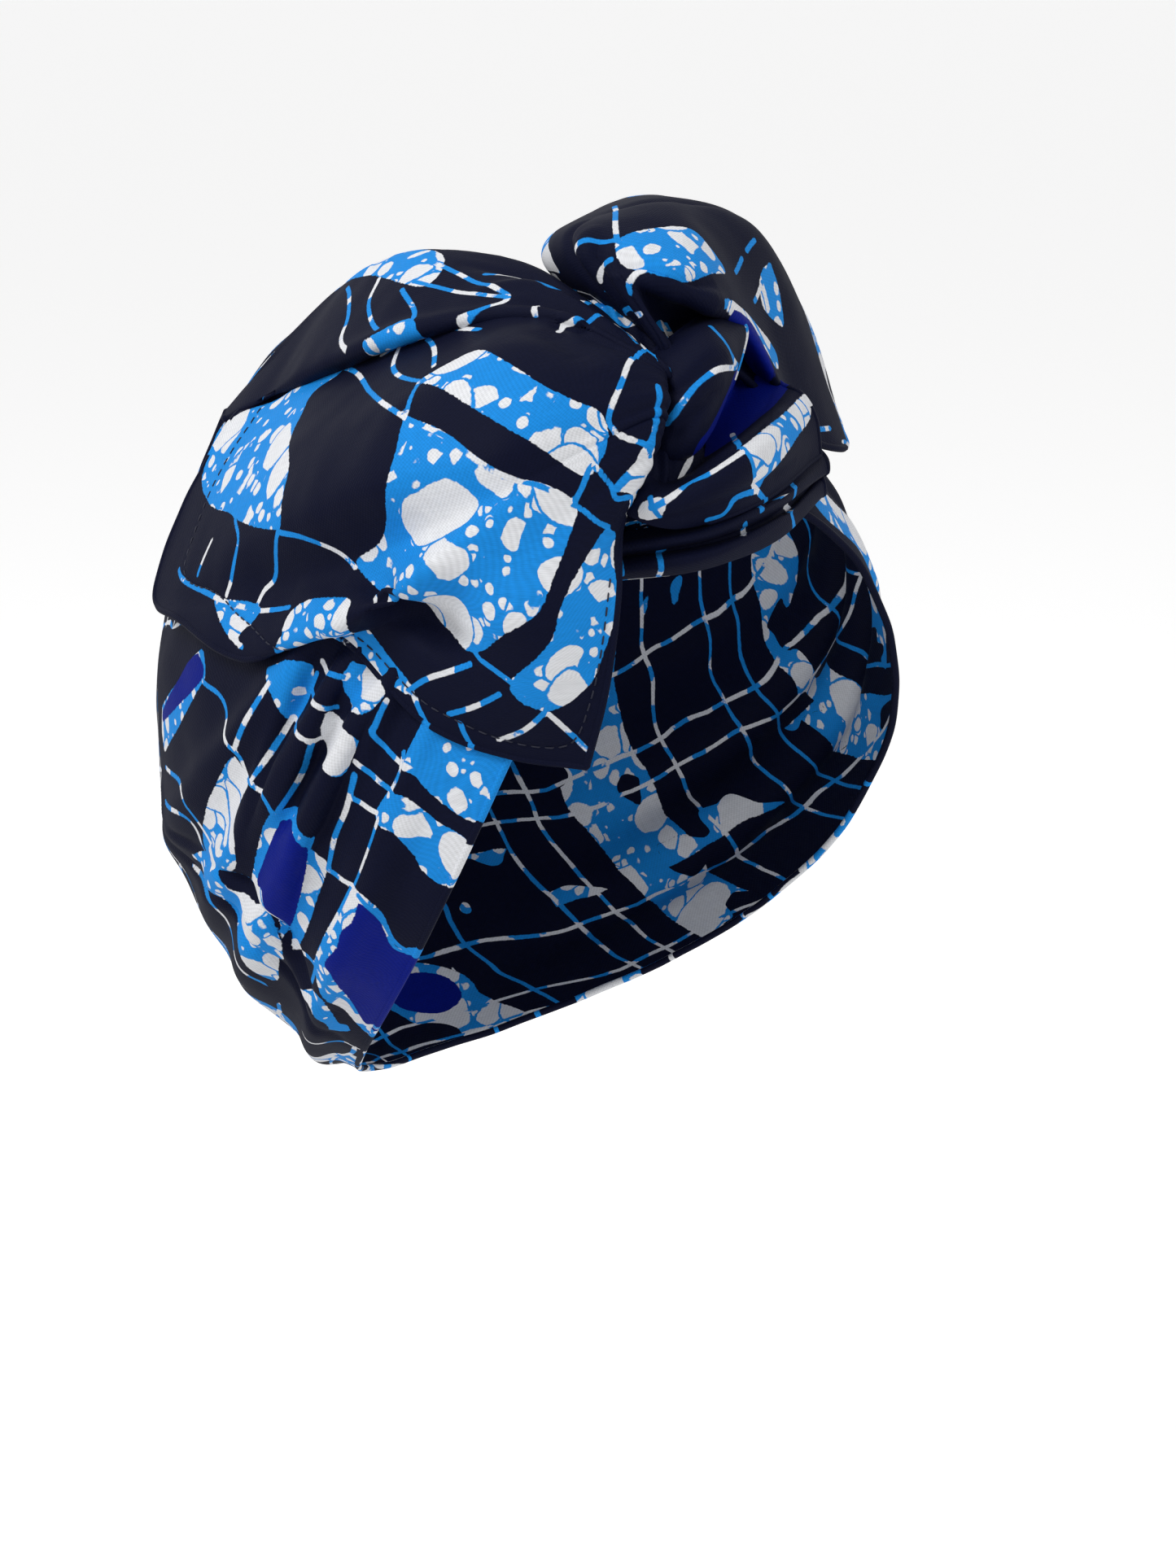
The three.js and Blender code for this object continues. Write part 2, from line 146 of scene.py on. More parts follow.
# Print, drawn with places (station, row) of each piece: thin lines, and the edges of the open areas
NEAR_PRINT_LINES = (
    ((3.5, 9.05), (3.1, 7.95), (2.65, 7.0), (2.25, 6.4), (1.85, 5.15), (1.53, 3.3), (1.34, 1.4)),
    ((2.75, 7.85), (2.65, 7.2), (2.63, 6.95)),
    ((1.1, 11.6), (1.25, 9.0), (1.33, 7.15), (1.36, 5.75), (1.19, 4.35), (0.82, 2.9)),
    ((1.4, 4.05), (1.28, 2.85), (1.19, 2.0), (0.6, 0.4)),
    ((1.41, 3.95), (1.46, 3.5), (1.52, 3.2)),
    ((2.95, 2.15), (3.0, 1.4), (3.2, 0.85), (3.75, 0.05)),
    ((3.85, 2.3), (3.5, 2.25), (3.1, 2.05)),
    ((3.8, 1.25), (3.55, 1.0), (3.2, 0.8)),
    ((3.75, 1.9), (3.5, 1.7), (3.2, 1.5)),
    ((3.78, 1.75), (4.0, 1.5)),
    ((3.84, 2.25), (4.0, 2.0)),
    ((3.55, 6.45), (3.5, 6.05), (3.6, 5.55), (3.7, 5.2)),
    ((3.3, 5.9), (3.45, 5.25), (3.55, 5.05), (3.65, 4.75)),
    ((3.3, 5.9), (3.2, 5.65), (3.12, 5.3), (3.08, 4.9)),
    ((3.85, 6.15), (3.77, 5.6), (3.74, 5.1), (3.64, 4.75), (3.47, 4.6)),
    ((3.74, 5.9), (3.67, 6.3)),
    ((3.2, 10.85), (3.17, 10.45), (3.19, 10.2), (3.16, 9.95)),
    ((3.0, 10.7), (3.04, 10.45), (2.95, 10.05)),
    ((2.82, 10.45), (2.73, 10.2), (2.73, 10.0)),
    ((2.7, 10.75), (2.4, 10.5), (2.15, 10.15), (2.53, 9.65)),
    ((2.75, 10.5), (2.5, 10.35), (2.15, 10.15)),
    ((2.95, 9.05), (2.8, 9.0), (2.53, 8.8)),
    ((2.95, 8.9), (2.73, 8.15)),
    ((3.05, 9.85), (3.1, 8.5), (2.65, 7.7)),
    ((2.3, 10.6), (2.08, 10.65), (1.83, 10.55), (1.68, 10.86), (1.55, 11.1)),
    ((1.96, 10.12), (2.0, 9.8), (2.01, 9.5)),
    ((1.85, 8.76), (1.83, 9.22), (1.77, 9.47), (1.65, 10.06), (1.4, 11.0), (1.2, 11.05)),
    ((1.0, 6.95), (0.95, 5.2), (0.9, 3.2), (0.6, 1.3)),
)
NEAR_PRINT_AREAS = (
    ((2.62, 6.95), (2.25, 6.4), (1.85, 5.15), (1.53, 3.3), (1.6, 2.5), (1.8, 2.0), (2.04, 1.75),
     (2.42, 2.0), (2.95, 2.15), (3.06, 2.75), (2.82, 3.8), (3.06, 4.9), (2.88, 5.15), (2.72, 5.6),
     (2.61, 6.3)),
    ((2.74, 7.9), (2.57, 8.05), (2.36, 8.05), (2.15, 7.75), (1.88, 7.35), (1.62, 6.8), (1.41, 6.0),
     (1.36, 4.35), (1.44, 3.85), (1.69, 5.65), (1.91, 6.45), (2.22, 7.05), (2.67, 7.75)),
    ((3.42, 8.8), (3.8, 8.6), (3.98, 8.2), (3.98, 7.4), (3.8, 6.85), (3.6, 6.55), (3.53, 6.4),
     (3.32, 6.0), (3.28, 6.0), (3.28, 6.4), (3.3, 6.8), (3.45, 7.6), (3.52, 8.3)),
    ((3.05, 9.85), (2.75, 9.95), (2.95, 9.05), (3.14, 8.9), (3.22, 8.9)),
    ((3.15, 11.3), (3.05, 11.25), (2.6, 10.85), (2.7, 10.45), (3.1, 10.9)),
    ((1.35, 1.2), (1.37, 0.65), (1.9, 0.1), (2.6, 0.2), (2.9, 0.35), (3.18, 0.8), (3.02, 1.4),
     (2.4, 1.1), (2.03, 1.2), (1.6, 1.35), (1.37, 1.4)),
    ((3.6, 4.15), (3.46, 4.5), (3.3, 4.5), (3.13, 4.2), (3.6, 3.05), (3.75, 2.65), (3.8, 2.3),
     (3.87, 2.3), (3.94, 2.5), (3.96, 2.85), (3.98, 3.3), (3.84, 3.8)),
    ((3.77, 5.15), (3.63, 4.75), (3.83, 4.45), (3.88, 4.25), (3.84, 4.65)),
    ((1.25, 2.6), (1.1, 2.75), (0.95, 3.5), (0.55, 1.7), (0.55, 0.2), (0.8, 0.6), (1.0, 1.6)),
)
BAND_PRINT_LINES = (
    ((98, 3.25), (92, 3.0), (90, 2.6), (89, 2.45), (89.5, 2.3), (88.5, 2.15), (86.5, 1.95), (87.5, 1.8)),
    ((77, 2.7), (84, 2.6), (89, 2.5)),
    ((77, 2.35), (82.5, 2.25), (88.5, 2.15)),
    ((75, 1.95), (80, 1.85), (87, 1.8)),
    ((77, 2.35), (75, 2.0), (74, 1.9)),
    ((72, 2.4), (70.5, 2.1), (69, 1.95)),
    ((74, 1.35), (79, 1.25), (84, 1.2), (89, 1.1)),
    ((63, 1.5), (66.5, 1.45), (68, 1.4), (69, 1.0)),
    ((72.5, 1.4), (72.7, 1.15), (72.8, 0.95), (73.5, 0.75)),
    ((77, 1.25), (76.5, 0.95)),
    ((77, 0.9), (82, 0.85), (88, 0.8)),
    ((89, 1.1), (88, 0.8), (89, 0.6), (92, 0.4), (95, 0.2), (96, 0)),
    ((88.5, 0.83), (94.5, 0.78), (100.5, 0.75), (108, 0.7)),
    ((106.5, 1.0), (104, 0.7), (110, 0.4), (116, 0.12), (115.5, 0)),
    ((103, 1.8), (100.5, 1.5), (101, 1.3), (103.5, 1.1), (106, 0.95)),
    ((69.7, 2.45), (71.3, 2.4)),
    ((68, 2.5), (67.5, 2.3), (65.3, 2.1)),
    ((67.5, 1.05), (70.5, 0.95), (73.5, 0.93)),
    ((122, 2.8), (109, 2.6), (106.5, 2.4), (106.5, 2.15), (103, 1.8)),
    ((130, 2.65), (110, 2.4), (110, 2.1)),
    ((121.5, 2.1), (114, 1.78), (116, 1.48), (120, 1.1), (130, 0.75)),
)
BAND_PRINT_AREAS = (
    ((63, 1.0), (61, 0.6), (62, 0.0), (71, 0.0), (71, 0.4), (69, 0.8), (69, 0.95), (66.7, 1.0)),
    ((73.5, 0.95), (72.7, 0.75), (74.2, 0.4), (75.7, 0.0), (81.8, 0.0), (81.8, 0.25), (79.5, 0.45),
     (77.3, 0.7), (77.3, 0.85), (76.5, 0.95)),
    ((78, 2.85), (70.5, 2.6), (72, 2.4), (75, 2.3), (77.3, 2.35), (77.3, 2.6)),
    ((63, 2.1), (61.5, 1.9), (62.3, 1.6), (64.5, 1.6), (66.8, 1.7), (66, 2.0), (65.2, 2.1)),
    ((70.5, 2.0), (69.7, 1.7), (70.5, 1.5), (74.3, 1.45), (75, 1.6), (73.5, 1.9)),
    ((90, 2.45), (90, 2.3), (89.3, 2.15), (94.5, 2.1), (97.5, 1.9), (102, 1.8), (108.7, 2.1), (102, 2.3),
     (95.3, 2.4), (91.5, 2.45)),
    ((90, 1.8), (87, 1.8), (84, 1.6), (85.5, 1.4), (87.5, 1.33), (104, 1.15), (102, 1.25), (101.3, 1.55),
     (98.3, 1.65), (93, 1.75)),
    ((88, 0.8), (88.5, 0.6), (93, 0.33), (96, 0.18), (96, -0.1), (116, -0.1), (117, 0.15), (105, 0.7),
     (102.7, 0.75), (95.3, 0.78), (90.7, 0.78)),
    ((87.8, 1.3), (88.5, 1.15), (93.7, 1.07), (99.7, 1.0), (106.5, 1.0), (103.5, 1.1), (97.5, 1.18),
     (91.5, 1.23)),
    ((112.5, 0.73), (109.5, 0.58), (118, 0.35), (122, 0.2), (150, 0.2), (150, 0.4), (123, 0.35),
     (114, 0.55)),
    ((115.5, 2.12), (112.5, 2.0), (111, 1.68), (111.8, 1.43), (117.8, 1.07), (114, 1.05), (103.5, 1.35),
     (105, 1.68), (106.5, 2.0)),
    ((99, 3.55), (97.5, 3.3), (101, 3.2), (112, 3.0), (126, 2.85), (132, 3.0), (123, 3.15), (109, 3.35)),
    ((104, 1.5), (102, 1.35), (108, 1.07), (110, 1.1), (106, 1.35)),
    ((335, 0.5), (330, 0.25), (318, 0.4), (306, 0.6), (296, 0.8), (296, 1.4), (305, 1.6), (318, 1.2),
     (328, 1.1), (335, 1.0)),
)
BAND_ROYAL_AREAS = (
    ((87.8, 1.7), (85.5, 1.55), (87, 1.4), (88, 1.35), (92.3, 1.25), (101.3, 1.15), (103, 1.2),
     (98.3, 1.45), (99, 1.55), (95.3, 1.6), (91.5, 1.65)),
    ((89.3, 0.65), (90, 0.55), (93, 0.4), (96.5, 0.2), (96.8, -0.1), (101, -0.1), (114.7, -0.1),
     (115.5, 0.12), (110, 0.35), (102.7, 0.57), (101.3, 0.65), (97.5, 0.63), (94.5, 0.66), (92.3, 0.62)),
    ((100.5, 3.5), (98.3, 3.3), (108, 3.2), (122, 3.1), (112, 3.3), (105, 3.45)),
)
# Creases: height (below 0 for a groove), width in millimetres, then the places along it
BAND_CREASES = (
    (-2.2, 2.2, ((60, 1.6), (67.5, 1.53), (74, 1.43), (82.5, 1.33), (88, 1.32), (103.5, 1.1))),
    (1.6, 3.0, ((60, 1.75), (67.5, 1.68), (74, 1.58), (82.5, 1.48), (96, 1.3))),
    (-1.8, 2.2, ((60, 2.25), (68, 2.0), (75, 1.85), (83, 1.73), (92, 1.6))),
    (1.4, 3.0, ((60, 2.4), (68, 2.17), (75, 2.0), (83, 1.87), (92, 1.75))),
    (-1.6, 2.2, ((66, 2.6), (76.5, 2.33), (82.5, 2.18), (89, 2.0), (98, 1.8))),
    (1.2, 3.0, ((66, 2.8), (76.5, 2.5), (82.5, 2.33), (89, 2.15), (98, 1.95))),
    (-1.4, 2.4, ((60, 1.08), (69, 1.0), (76, 0.95), (82.5, 0.88), (95, 0.8))),
    (-2.0, 2.0, ((130, 2.65), (114, 2.2), (104, 1.8), (102, 1.35), (106.5, 0.95), (115, 0.35))),
    (1.6, 2.2, ((131, 2.8), (118, 2.3), (106, 1.9), (105, 1.3), (110, 0.9), (118, 0.3))),
    (-1.8, 2.2, ((127, 2.5), (120, 2.1), (111, 1.7), (111, 1.2), (117, 0.65), (128, 0.1))),
)
FAR_PRINT_LINES = (
    ((3.3, 3.3), (2.8, 2.45), (2.55, 1.95)),
    ((1.8, 3.1), (1.97, 2.75), (2.2, 2.4), (2.55, 1.93)),
    ((1.67, 2.65), (2.0, 2.0), (2.2, 1.75)),
    ((1.74, 1.35), (2.07, 1.1), (2.5, 1.13)),
    ((1.6, 3.07), (1.53, 3.3)),
    ((4.85, 2.75), (4.76, 2.5)),
    ((4.7, 2.35), (4.6, 2.0)),
    ((2.13, 4.1), (1.9, 3.8), (1.8, 3.5)),
    ((4.93, 2.0), (5.0, 2.4)),
    ((5.9, 2.0), (5.93, 2.75), (5.9, 3.75), (6, 3.85)),
    ((1.27, 3.85), (1.4, 2.7), (1.46, 1.7)),
)
FAR_PRINT_AREAS = (
    ((2.55, 1.93), (2.95, 1.96), (3.4, 1.94), (3.83, 1.98), (4.08, 1.87), (4.38, 1.68), (3.83, 1.32),
     (3.14, 1.08), (2.43, 1.2), (2.33, 1.58)),
    ((5.07, 2.75), (5.25, 2.65), (5.35, 2.5), (5.1, 2.2), (4.98, 2.38)),
    ((4.35, 1.0), (4.8, 1.28), (5.1, 1.58), (5.4, 1.95), (5.5, 1.5), (5.2, 1.15), (4.9, 0.9)),
)
FAR_ROYAL_AREAS = (
    ((4.9, 1.1), (5.15, 1.3), (5.5, 1.0), (5.5, 0.3), (5, 0), (4.6, 0.2), (4.6, 0.8)),
)
FOLD_PRINT_LINES = (
    ((3.1, 8.05), (3.35, 7.05), (3.9, 6.6)),
    ((3.9, 6.6), (2.75, 7.1), (2.13, 7.05), (1.5, 6.55)),
    ((1.5, 1.0), (2.1, 1.75), (2.5, 1.6), (2.93, 1.55)),
    ((2.82, 3.15), (2.95, 1.65), (2.97, 0.5), (3.08, 0)),
    ((3.0, 0.3), (2.72, 0.36), (2.54, 0.15), (2.34, 0.15)),
    ((1.44, 1.46), (1.66, 0.6)),
    ((4.0, 7.4), (4.0, 6.9), (4.0, 6.4)),
)
FOLD_PRINT_AREAS = (
    ((3.0, 1.67), (3.58, 1.7), (4.0, 1.8), (3.9, 1.2), (3.63, 1.0), (3.25, 0.62), (3.0, 0.43)),
    ((1.3, 1.0), (1.6, 1.4), (1.75, 1.2), (1.6, 0.6), (1.3, 0.4)),
)
FOLD_ROYAL_AREAS = (
    ((2.45, 3.0), (3.0, 2.9), (4.1, 2.8), (4.1, 6.3), (3.1, 6.25), (2.75, 6.0), (2.45, 4.5)),
)
ROLL_PRINT_LINES = (
    ((0.53, 3.25), (0.45, 2.9), (0.49, 1.8), (0.48, 1.15)),
    ((1.53, 3.67), (1.56, 2.9), (1.51, 2.35)),
    ((0, 1.2), (0.24, 1.2), (0.59, 1.15)),
    ((0, 3.1), (0.04, 1.7)),
    ((1.78, 3.94), (1.75, 4.8)),
    ((2.3, 1.0), (2.28, 2.2), (2.35, 3.6), (2.3, 5.0)),
)
NEAR_CREASES = (
    (-4.2, 4.5, ((3.09, 4.85), (2.9, 4.3), (3.0, 3.5), (3.12, 2.7), (2.9, 2.0))),
    (1.4, 4.0, ((3.4, 4.9), (3.3, 4.2), (3.4, 3.4), (3.4, 2.6), (3.2, 1.9))),
    (1.3, 3.0, ((3.9, 8.2), (3.4, 9.3), (3.05, 9.8), (2.75, 9.9), (2.3, 9.4), (1.9, 9.9))),
    (-1.6, 2.0, ((2.3, 9.9), (1.9, 10.15), (1.5, 10.3), (1.1, 10.4))),
    (1.4, 2.0, ((2.4, 10.3), (1.95, 10.5), (1.5, 10.6), (1.1, 10.7))),
    (-1.6, 2.0, ((2.5, 10.7), (1.95, 10.8), (1.5, 10.9), (1.1, 11.0))),
    (1.4, 2.0, ((2.5, 11.1), (1.95, 11.15), (1.5, 11.2), (1.1, 11.3))),
    (-1.8, 2.2, ((1.95, 9.0), (1.75, 9.3), (1.6, 9.7))),
    (1.8, 2.2, ((1.9, 9.35), (1.75, 9.55), (1.62, 9.9))),
    (-1.2, 5.0, ((2.0, 8.6), (1.7, 8.2), (1.5, 7.6))),
)
FAR_CREASES = (
    (-2.4, 2.2, ((1.9, 1.75), (2.35, 1.35), (3.0, 1.08), (3.6, 1.1), (4.2, 1.3))),
    (1.8, 3.4, ((1.9, 1.4), (2.4, 1.0), (3.1, 0.8), (3.8, 0.85), (4.6, 0.95))),
    (-1.6, 2.0, ((1.2, 2.6), (1.6, 2.4), (2.0, 2.2), (2.5, 2.1))),
    (1.2, 2.4, ((1.2, 2.9), (1.6, 2.75), (2.1, 2.6), (2.6, 2.5))),
    (-1.6, 2.0, ((1.2, 3.3), (1.6, 3.2), (2.1, 3.1), (2.8, 3.0))),
    (-1.4, 3.0, ((2.6, 3.2), (3.6, 3.0), (4.6, 3.2), (5.4, 3.5))),
)
FOLD_CREASES = (
    (-1.2, 1.8, ((1.2, 1.9), (2.0, 2.1), (2.8, 2.0), (3.6, 2.1))),
    (-1.4, 2.0, ((1.0, 7.6), (1.8, 7.4), (2.6, 7.3), (3.2, 7.1))),
    (-1.4, 2.0, ((1.0, 6.6), (1.8, 6.6), (2.6, 6.7), (3.2, 6.7))),
    (-1.0, 1.8, ((1.2, 0.6), (2.0, 0.5), (2.8, 0.45), (3.6, 0.4))),
)
ROLL_CREASES = ((-1.4, 1.4, ((0, 3.0), (0.8, 3.0), (1.6, 3.0), (2.4, 3.0), (3.0, 3.0))),)
NEAR_STITCHES = (
    (3.85, 8.6), (3.83, 7.3), (3.81, 6.05), (3.73, 5.45), (3.74, 4.85), (3.72, 4.3), (3.8, 3.4), (3.84, 2.9),
    (3.83, 2.3), (3.78, 1.8), (3.78, 1.0), (3.75, 0.45), (3.6, 0.25), (3.2, 0.2), (2.4, 0.2), (1.65, 0.3),
)


def on_head(turn, tilt, lift):
    """Point at a turn and tilt in degrees, standing lift shares of STAND_OFF above the wrapped head."""
    turn, tilt, lift = (np.asarray(value, float) for value in (turn, tilt, lift))
    a, e = np.radians(turn), np.radians(tilt)
    way = np.stack((np.sin(a) * np.cos(e), -np.cos(a) * np.cos(e), np.sin(e)), -1) * HEAD
    return way * (1 + lift * STAND_OFF / np.linalg.norm(way, axis=-1))[..., None]


def spline_weights(count, places):
    """How much each of count knots counts at places from 0 to count - 1, on one smooth curve."""
    places = np.atleast_1d(np.asarray(places, float))
    weights = np.zeros((len(places), count + 2))
    k = np.clip(np.floor(places).astype(int), 0, count - 2)
    f = places - k
    rows = np.arange(len(places))
    parts = (-f + 2 * f**2 - f**3, 2 - 5 * f**2 + 3 * f**3, f + 4 * f**2 - 3 * f**3, -(f**2) + f**3)
    for step, part in enumerate(parts):
        weights[rows, k + step] += part / 2
    out = weights[:, 1:-1].copy()
    out[:, 0] += 2 * weights[:, 0]
    out[:, 1] -= weights[:, 0]
    out[:, -1] += 2 * weights[:, -1]
    out[:, -2] -= weights[:, -1]
    return out


def opened_end(throat, folds):
    """Knots of an opened end: for each fold its tucked root, its throat point and its stations."""
    low, middle, high = (on_head(*point) for point in throat)
    first, second = (on_head(*point) for point in KNOT_ENDS)
    axis = second - first
    knots = []
    for share, turns, tilts, lifts in folds:
        start = low * (1 - share) * (1 - 2 * share) + middle * 4 * share * (1 - share)
        start = start + high * share * (2 * share - 1)
        beside = first + axis * np.clip((start - first) @ axis / (axis @ axis), 0, 1)
        root = start + (beside - start) * ROOT_TUCK
        knots.append(np.vstack((root, start, on_head(turns, tilts, lifts))))
    return np.array(knots)


class Opened:
    """A sheet through fold lines: station 0 is the first knot of each line, row 0 the first line."""

    def __init__(self, knots):
        self.knots = knots
        self.rows, self.stations = knots.shape[:2]

    def at(self, station, row):
        across = spline_weights(self.stations, station)
        along = spline_weights(self.rows, row)
        return np.einsum("ki,kj,jic->kc", across, along, self.knots)


class Band:
    """Closed loops round the head: station in degrees from the front, row 0 the front edge."""

    rows = len(BAND_ROWS)

    def at(self, station, row):
        station, row = np.asarray(station, float), np.asarray(row, float)
        values = spline_weights(self.rows, row) @ np.array(BAND_ROWS)
        front_tilt, side_turn, side_tilt, back_tilt, front_lift, side_lift, back_lift = values.T
        front = on_head(0 * front_tilt, front_tilt, front_lift)
        side = on_head(side_turn, side_tilt, side_lift)
        back = on_head(0 * back_tilt + 180, back_tilt, back_lift)
        a = np.radians(station)
        out = np.empty((len(station), 3))
        out[:, 0] = -side[:, 0] * np.sin(a)
        for c in (1, 2):
            f, m, b = front[:, c], side[:, c], back[:, c]
            out[:, c] = (f + b + 2 * m) / 4 + (f - b) / 2 * np.cos(a) + (f + b - 2 * m) / 4 * np.cos(2 * a)
        height = self.pleats(station, row / (self.rows - 1))
        return out * (1 + height / np.linalg.norm(out, axis=1))[:, None]

    def pleats(self, station, across):
        """Height of the pleats at stations and at shares across the band."""
        total = np.zeros(len(station))
        for start, end, low, high, width, height in BAND_PLEATS:
            f = (station % 360 - start) / (end - start)
            ridge = np.exp(-(((across - low - (high - low) * f) / width) ** 2))
            total += height * ridge * np.clip(np.minimum(4 * f, 4 * (1 - f)), 0, 1)
        return total * PLEAT_HEIGHT


def unit(vectors):
    return vectors / np.maximum(np.linalg.norm(vectors, axis=-1, keepdims=True), 1e-9)


def outward(net):
    """Unit normals of a net of rows by stations."""
    return unit(np.cross(np.gradient(net, axis=1), np.gradient(net, axis=0)))


def trace(shape, stops, spacing=0.25):
    """Even points along a smooth path through (station, row) stops, with the places and the length."""
    stops = np.array(stops, float)
    fine = spline_weights(len(stops), np.linspace(0, len(stops) - 1, 14 * len(stops))) @ stops
    points = shape.at(fine[:, 0], fine[:, 1])
    length = np.concatenate(([0], np.cumsum(np.linalg.norm(np.diff(points, axis=0), axis=1))))
    even = np.linspace(0, length[-1], int(length[-1] / spacing) + 2)
    places = np.stack([np.interp(even, length, fine[:, c]) for c in (0, 1)], 1)
    return np.stack([np.interp(even, length, points[:, c]) for c in range(3)], 1), places, even


def nearest(points, cloud):
    """Distance to the nearest point of cloud, and which one it is."""
    tree = KDTree(len(cloud))
    for i, point in enumerate(cloud):
        tree.insert(point, i)
    tree.balance()
    found = [tree.find(point)[1:] for point in points]
    which, distance = zip(*found)
    return np.array(distance), np.array(which)


def inside(places, polygon):
    """Whether each (station, row) place lies in the polygon."""
    x, y = places.T
    result = np.zeros(len(places), bool)
    for (x0, y0), (x1, y1) in zip(polygon, np.roll(polygon, -1, axis=0)):
        if y0 != y1:
            result ^= ((y0 > y) != (y1 > y)) & (x < (x1 - x0) * (y - y0) / (y1 - y0) + x0)
    return result


def wander(points, size, seed):
    """Slow smooth noise from -1 to 1 that changes over about size millimetres."""
    rng = np.random.default_rng(seed)
    total = np.zeros(len(points))
    for _ in range(9):
        way = unit(rng.normal(size=3)) * (2 * np.pi / size) * rng.uniform(0.7, 1.4)
        total += np.sin(points @ way + rng.uniform(0, 2 * np.pi))
    return total / 4.5


def printed(shape, points, places, seed, lines=(), areas=(), blobs=(), made=None):
    """Values of the print at each point: line, open area and royal area distances, how white a line is, and
    the share of the wavy plaid, which fills the places that aren't drawn."""
    rng = np.random.default_rng(seed)
    cloud, white = [], []
    for stops in lines:
        path, _, even = trace(shape, stops)
        cloud.append(path)
        waves = zip((3.1, 1.9, 7), rng.uniform(0, 6, 3))
        white.append(sum(np.sin(even / size + turn) for size, turn in waves))
    values = np.zeros((len(points), 5))
    values[:, 0] = FAR_OFF
    if cloud:
        distance, which = nearest(points, np.concatenate(cloud))
        values[:, 0] = distance - LINE_WIDTH / 2
        values[:, 3] = np.concatenate(white)[which]
    for column, group in ((1, areas), (2, blobs)):
        values[:, column] = -FAR_OFF
        for stops in group:
            path, polygon, _ = trace(shape, stops + stops[:1])
            distance, _ = nearest(points, path)
            signed = np.where(inside(places, polygon), distance, -distance)
            values[:, column] = np.maximum(values[:, column], signed + AREA_SPREAD)
    if made:
        values[:, 4] = made(*places.T)
    return values


def rise(value, low, high):
    """0 below low and 1 above high, smooth between."""
    share = np.clip((value - low) / (high - low), 0, 1)
    return share * share * (3 - 2 * share)


# Materials
def new_group(name, inputs, outputs):
    """A shader node group with named sockets: (name, kind, value)."""
    group = bpy.data.node_groups.new(name, "ShaderNodeTree")
    for label, kind, value in inputs:
        socket = group.interface.new_socket(label, in_out="INPUT", socket_type=kind)
        if value is not None:
            socket.default_value = value
    for label, kind in outputs:
        group.interface.new_socket(label, in_out="OUTPUT", socket_type=kind)
    return group, group.nodes.new("NodeGroupInput"), group.nodes.new("NodeGroupOutput")


class Wiring:
    """Short calls for the nodes that the materials use."""

    def __init__(self, tree):
        self.tree = tree

    def node(self, kind, links=None, **settings):
        node = self.tree.nodes.new(kind)
        for key, value in settings.items():
            setattr(node, key, value)
        for socket, value in (links or {}).items():
            if isinstance(value, bpy.types.NodeSocket):
                self.tree.links.new(value, node.inputs[socket])
            else:
                node.inputs[socket].default_value = value
        return node

    def math(self, operation, first, second=0.0, third=0.0):
        return self.node("ShaderNodeMath", {0: first, 1: second, 2: third}, operation=operation).outputs[0]

    def step(self, value, low, high):
        """0 below low and 1 above high, smooth between."""
        links = {"Value": value, "From Min": low, "From Max": high}
        return self.node("ShaderNodeMapRange", links, interpolation_type="SMOOTHSTEP").outputs["Result"]

    def mix(self, share, first, second):
        node = self.node("ShaderNodeMix", data_type="RGBA")
        sockets = [s for s in node.inputs if s.enabled]
        for socket, value in zip(sockets, (share, first, second)):
            if isinstance(value, bpy.types.NodeSocket):
                self.tree.links.new(value, socket)
            else:
                socket.default_value = value
        return next(s for s in node.outputs if s.enabled)

    def noise(self, place, scale, detail=2.0):
        return self.node("ShaderNodeTexNoise", {"Vector": place, "Scale": scale, "Detail": detail})

    def bent(self, place, scale, reach):
        """Places moved by slow noise, up to about half of reach."""
        way = self.noise(place, scale).outputs["Color"]
        way = self.node("ShaderNodeVectorMath", {0: way, 1: (-0.5, -0.5, -0.5)}, operation="ADD").outputs[0]
        way = self.node("ShaderNodeVectorMath", {0: way, 3: reach}, operation="SCALE").outputs[0]
        return self.node("ShaderNodeVectorMath", {0: place, 1: way}, operation="ADD").outputs[0]

    def join(self, value, socket):
        self.tree.links.new(value, socket)


def new_material(name, **settings):
    """A material with its wiring and its shader; settings are the shader's own values."""
    material = bpy.data.materials.new(name)
    material.use_nodes = True
    shader = next(n for n in material.node_tree.nodes if n.type == "BSDF_PRINCIPLED")
    for socket, value in settings.items():
        shader.inputs[socket.replace("_", " ")].default_value = value
    return material, Wiring(material.node_tree), shader


NAVY = (0.0042, 0.0056, 0.021, 1)
SKY = (0.012, 0.26, 0.74, 1)
OFF_WHITE = (0.78, 0.79, 0.82, 1)
ROYAL = (0.002, 0.01, 0.22, 1)
THREAD_DARK = (0.002, 0.003, 0.012, 1)
THREAD_LIGHT = (0.008, 0.011, 0.04, 1)
# Bubbles in millimetres: size of a cell, least and greatest reach from its middle, gap to the next cell
BUBBLES = ((17.0, -3.5, 12.5, 0.4), (8.5, -1.8, 6.2, 0.35), (3.6, -1.2, 2.2, 0.3))
# Half the width of the soft step from one ink to the next
INK_EDGE = 0.12


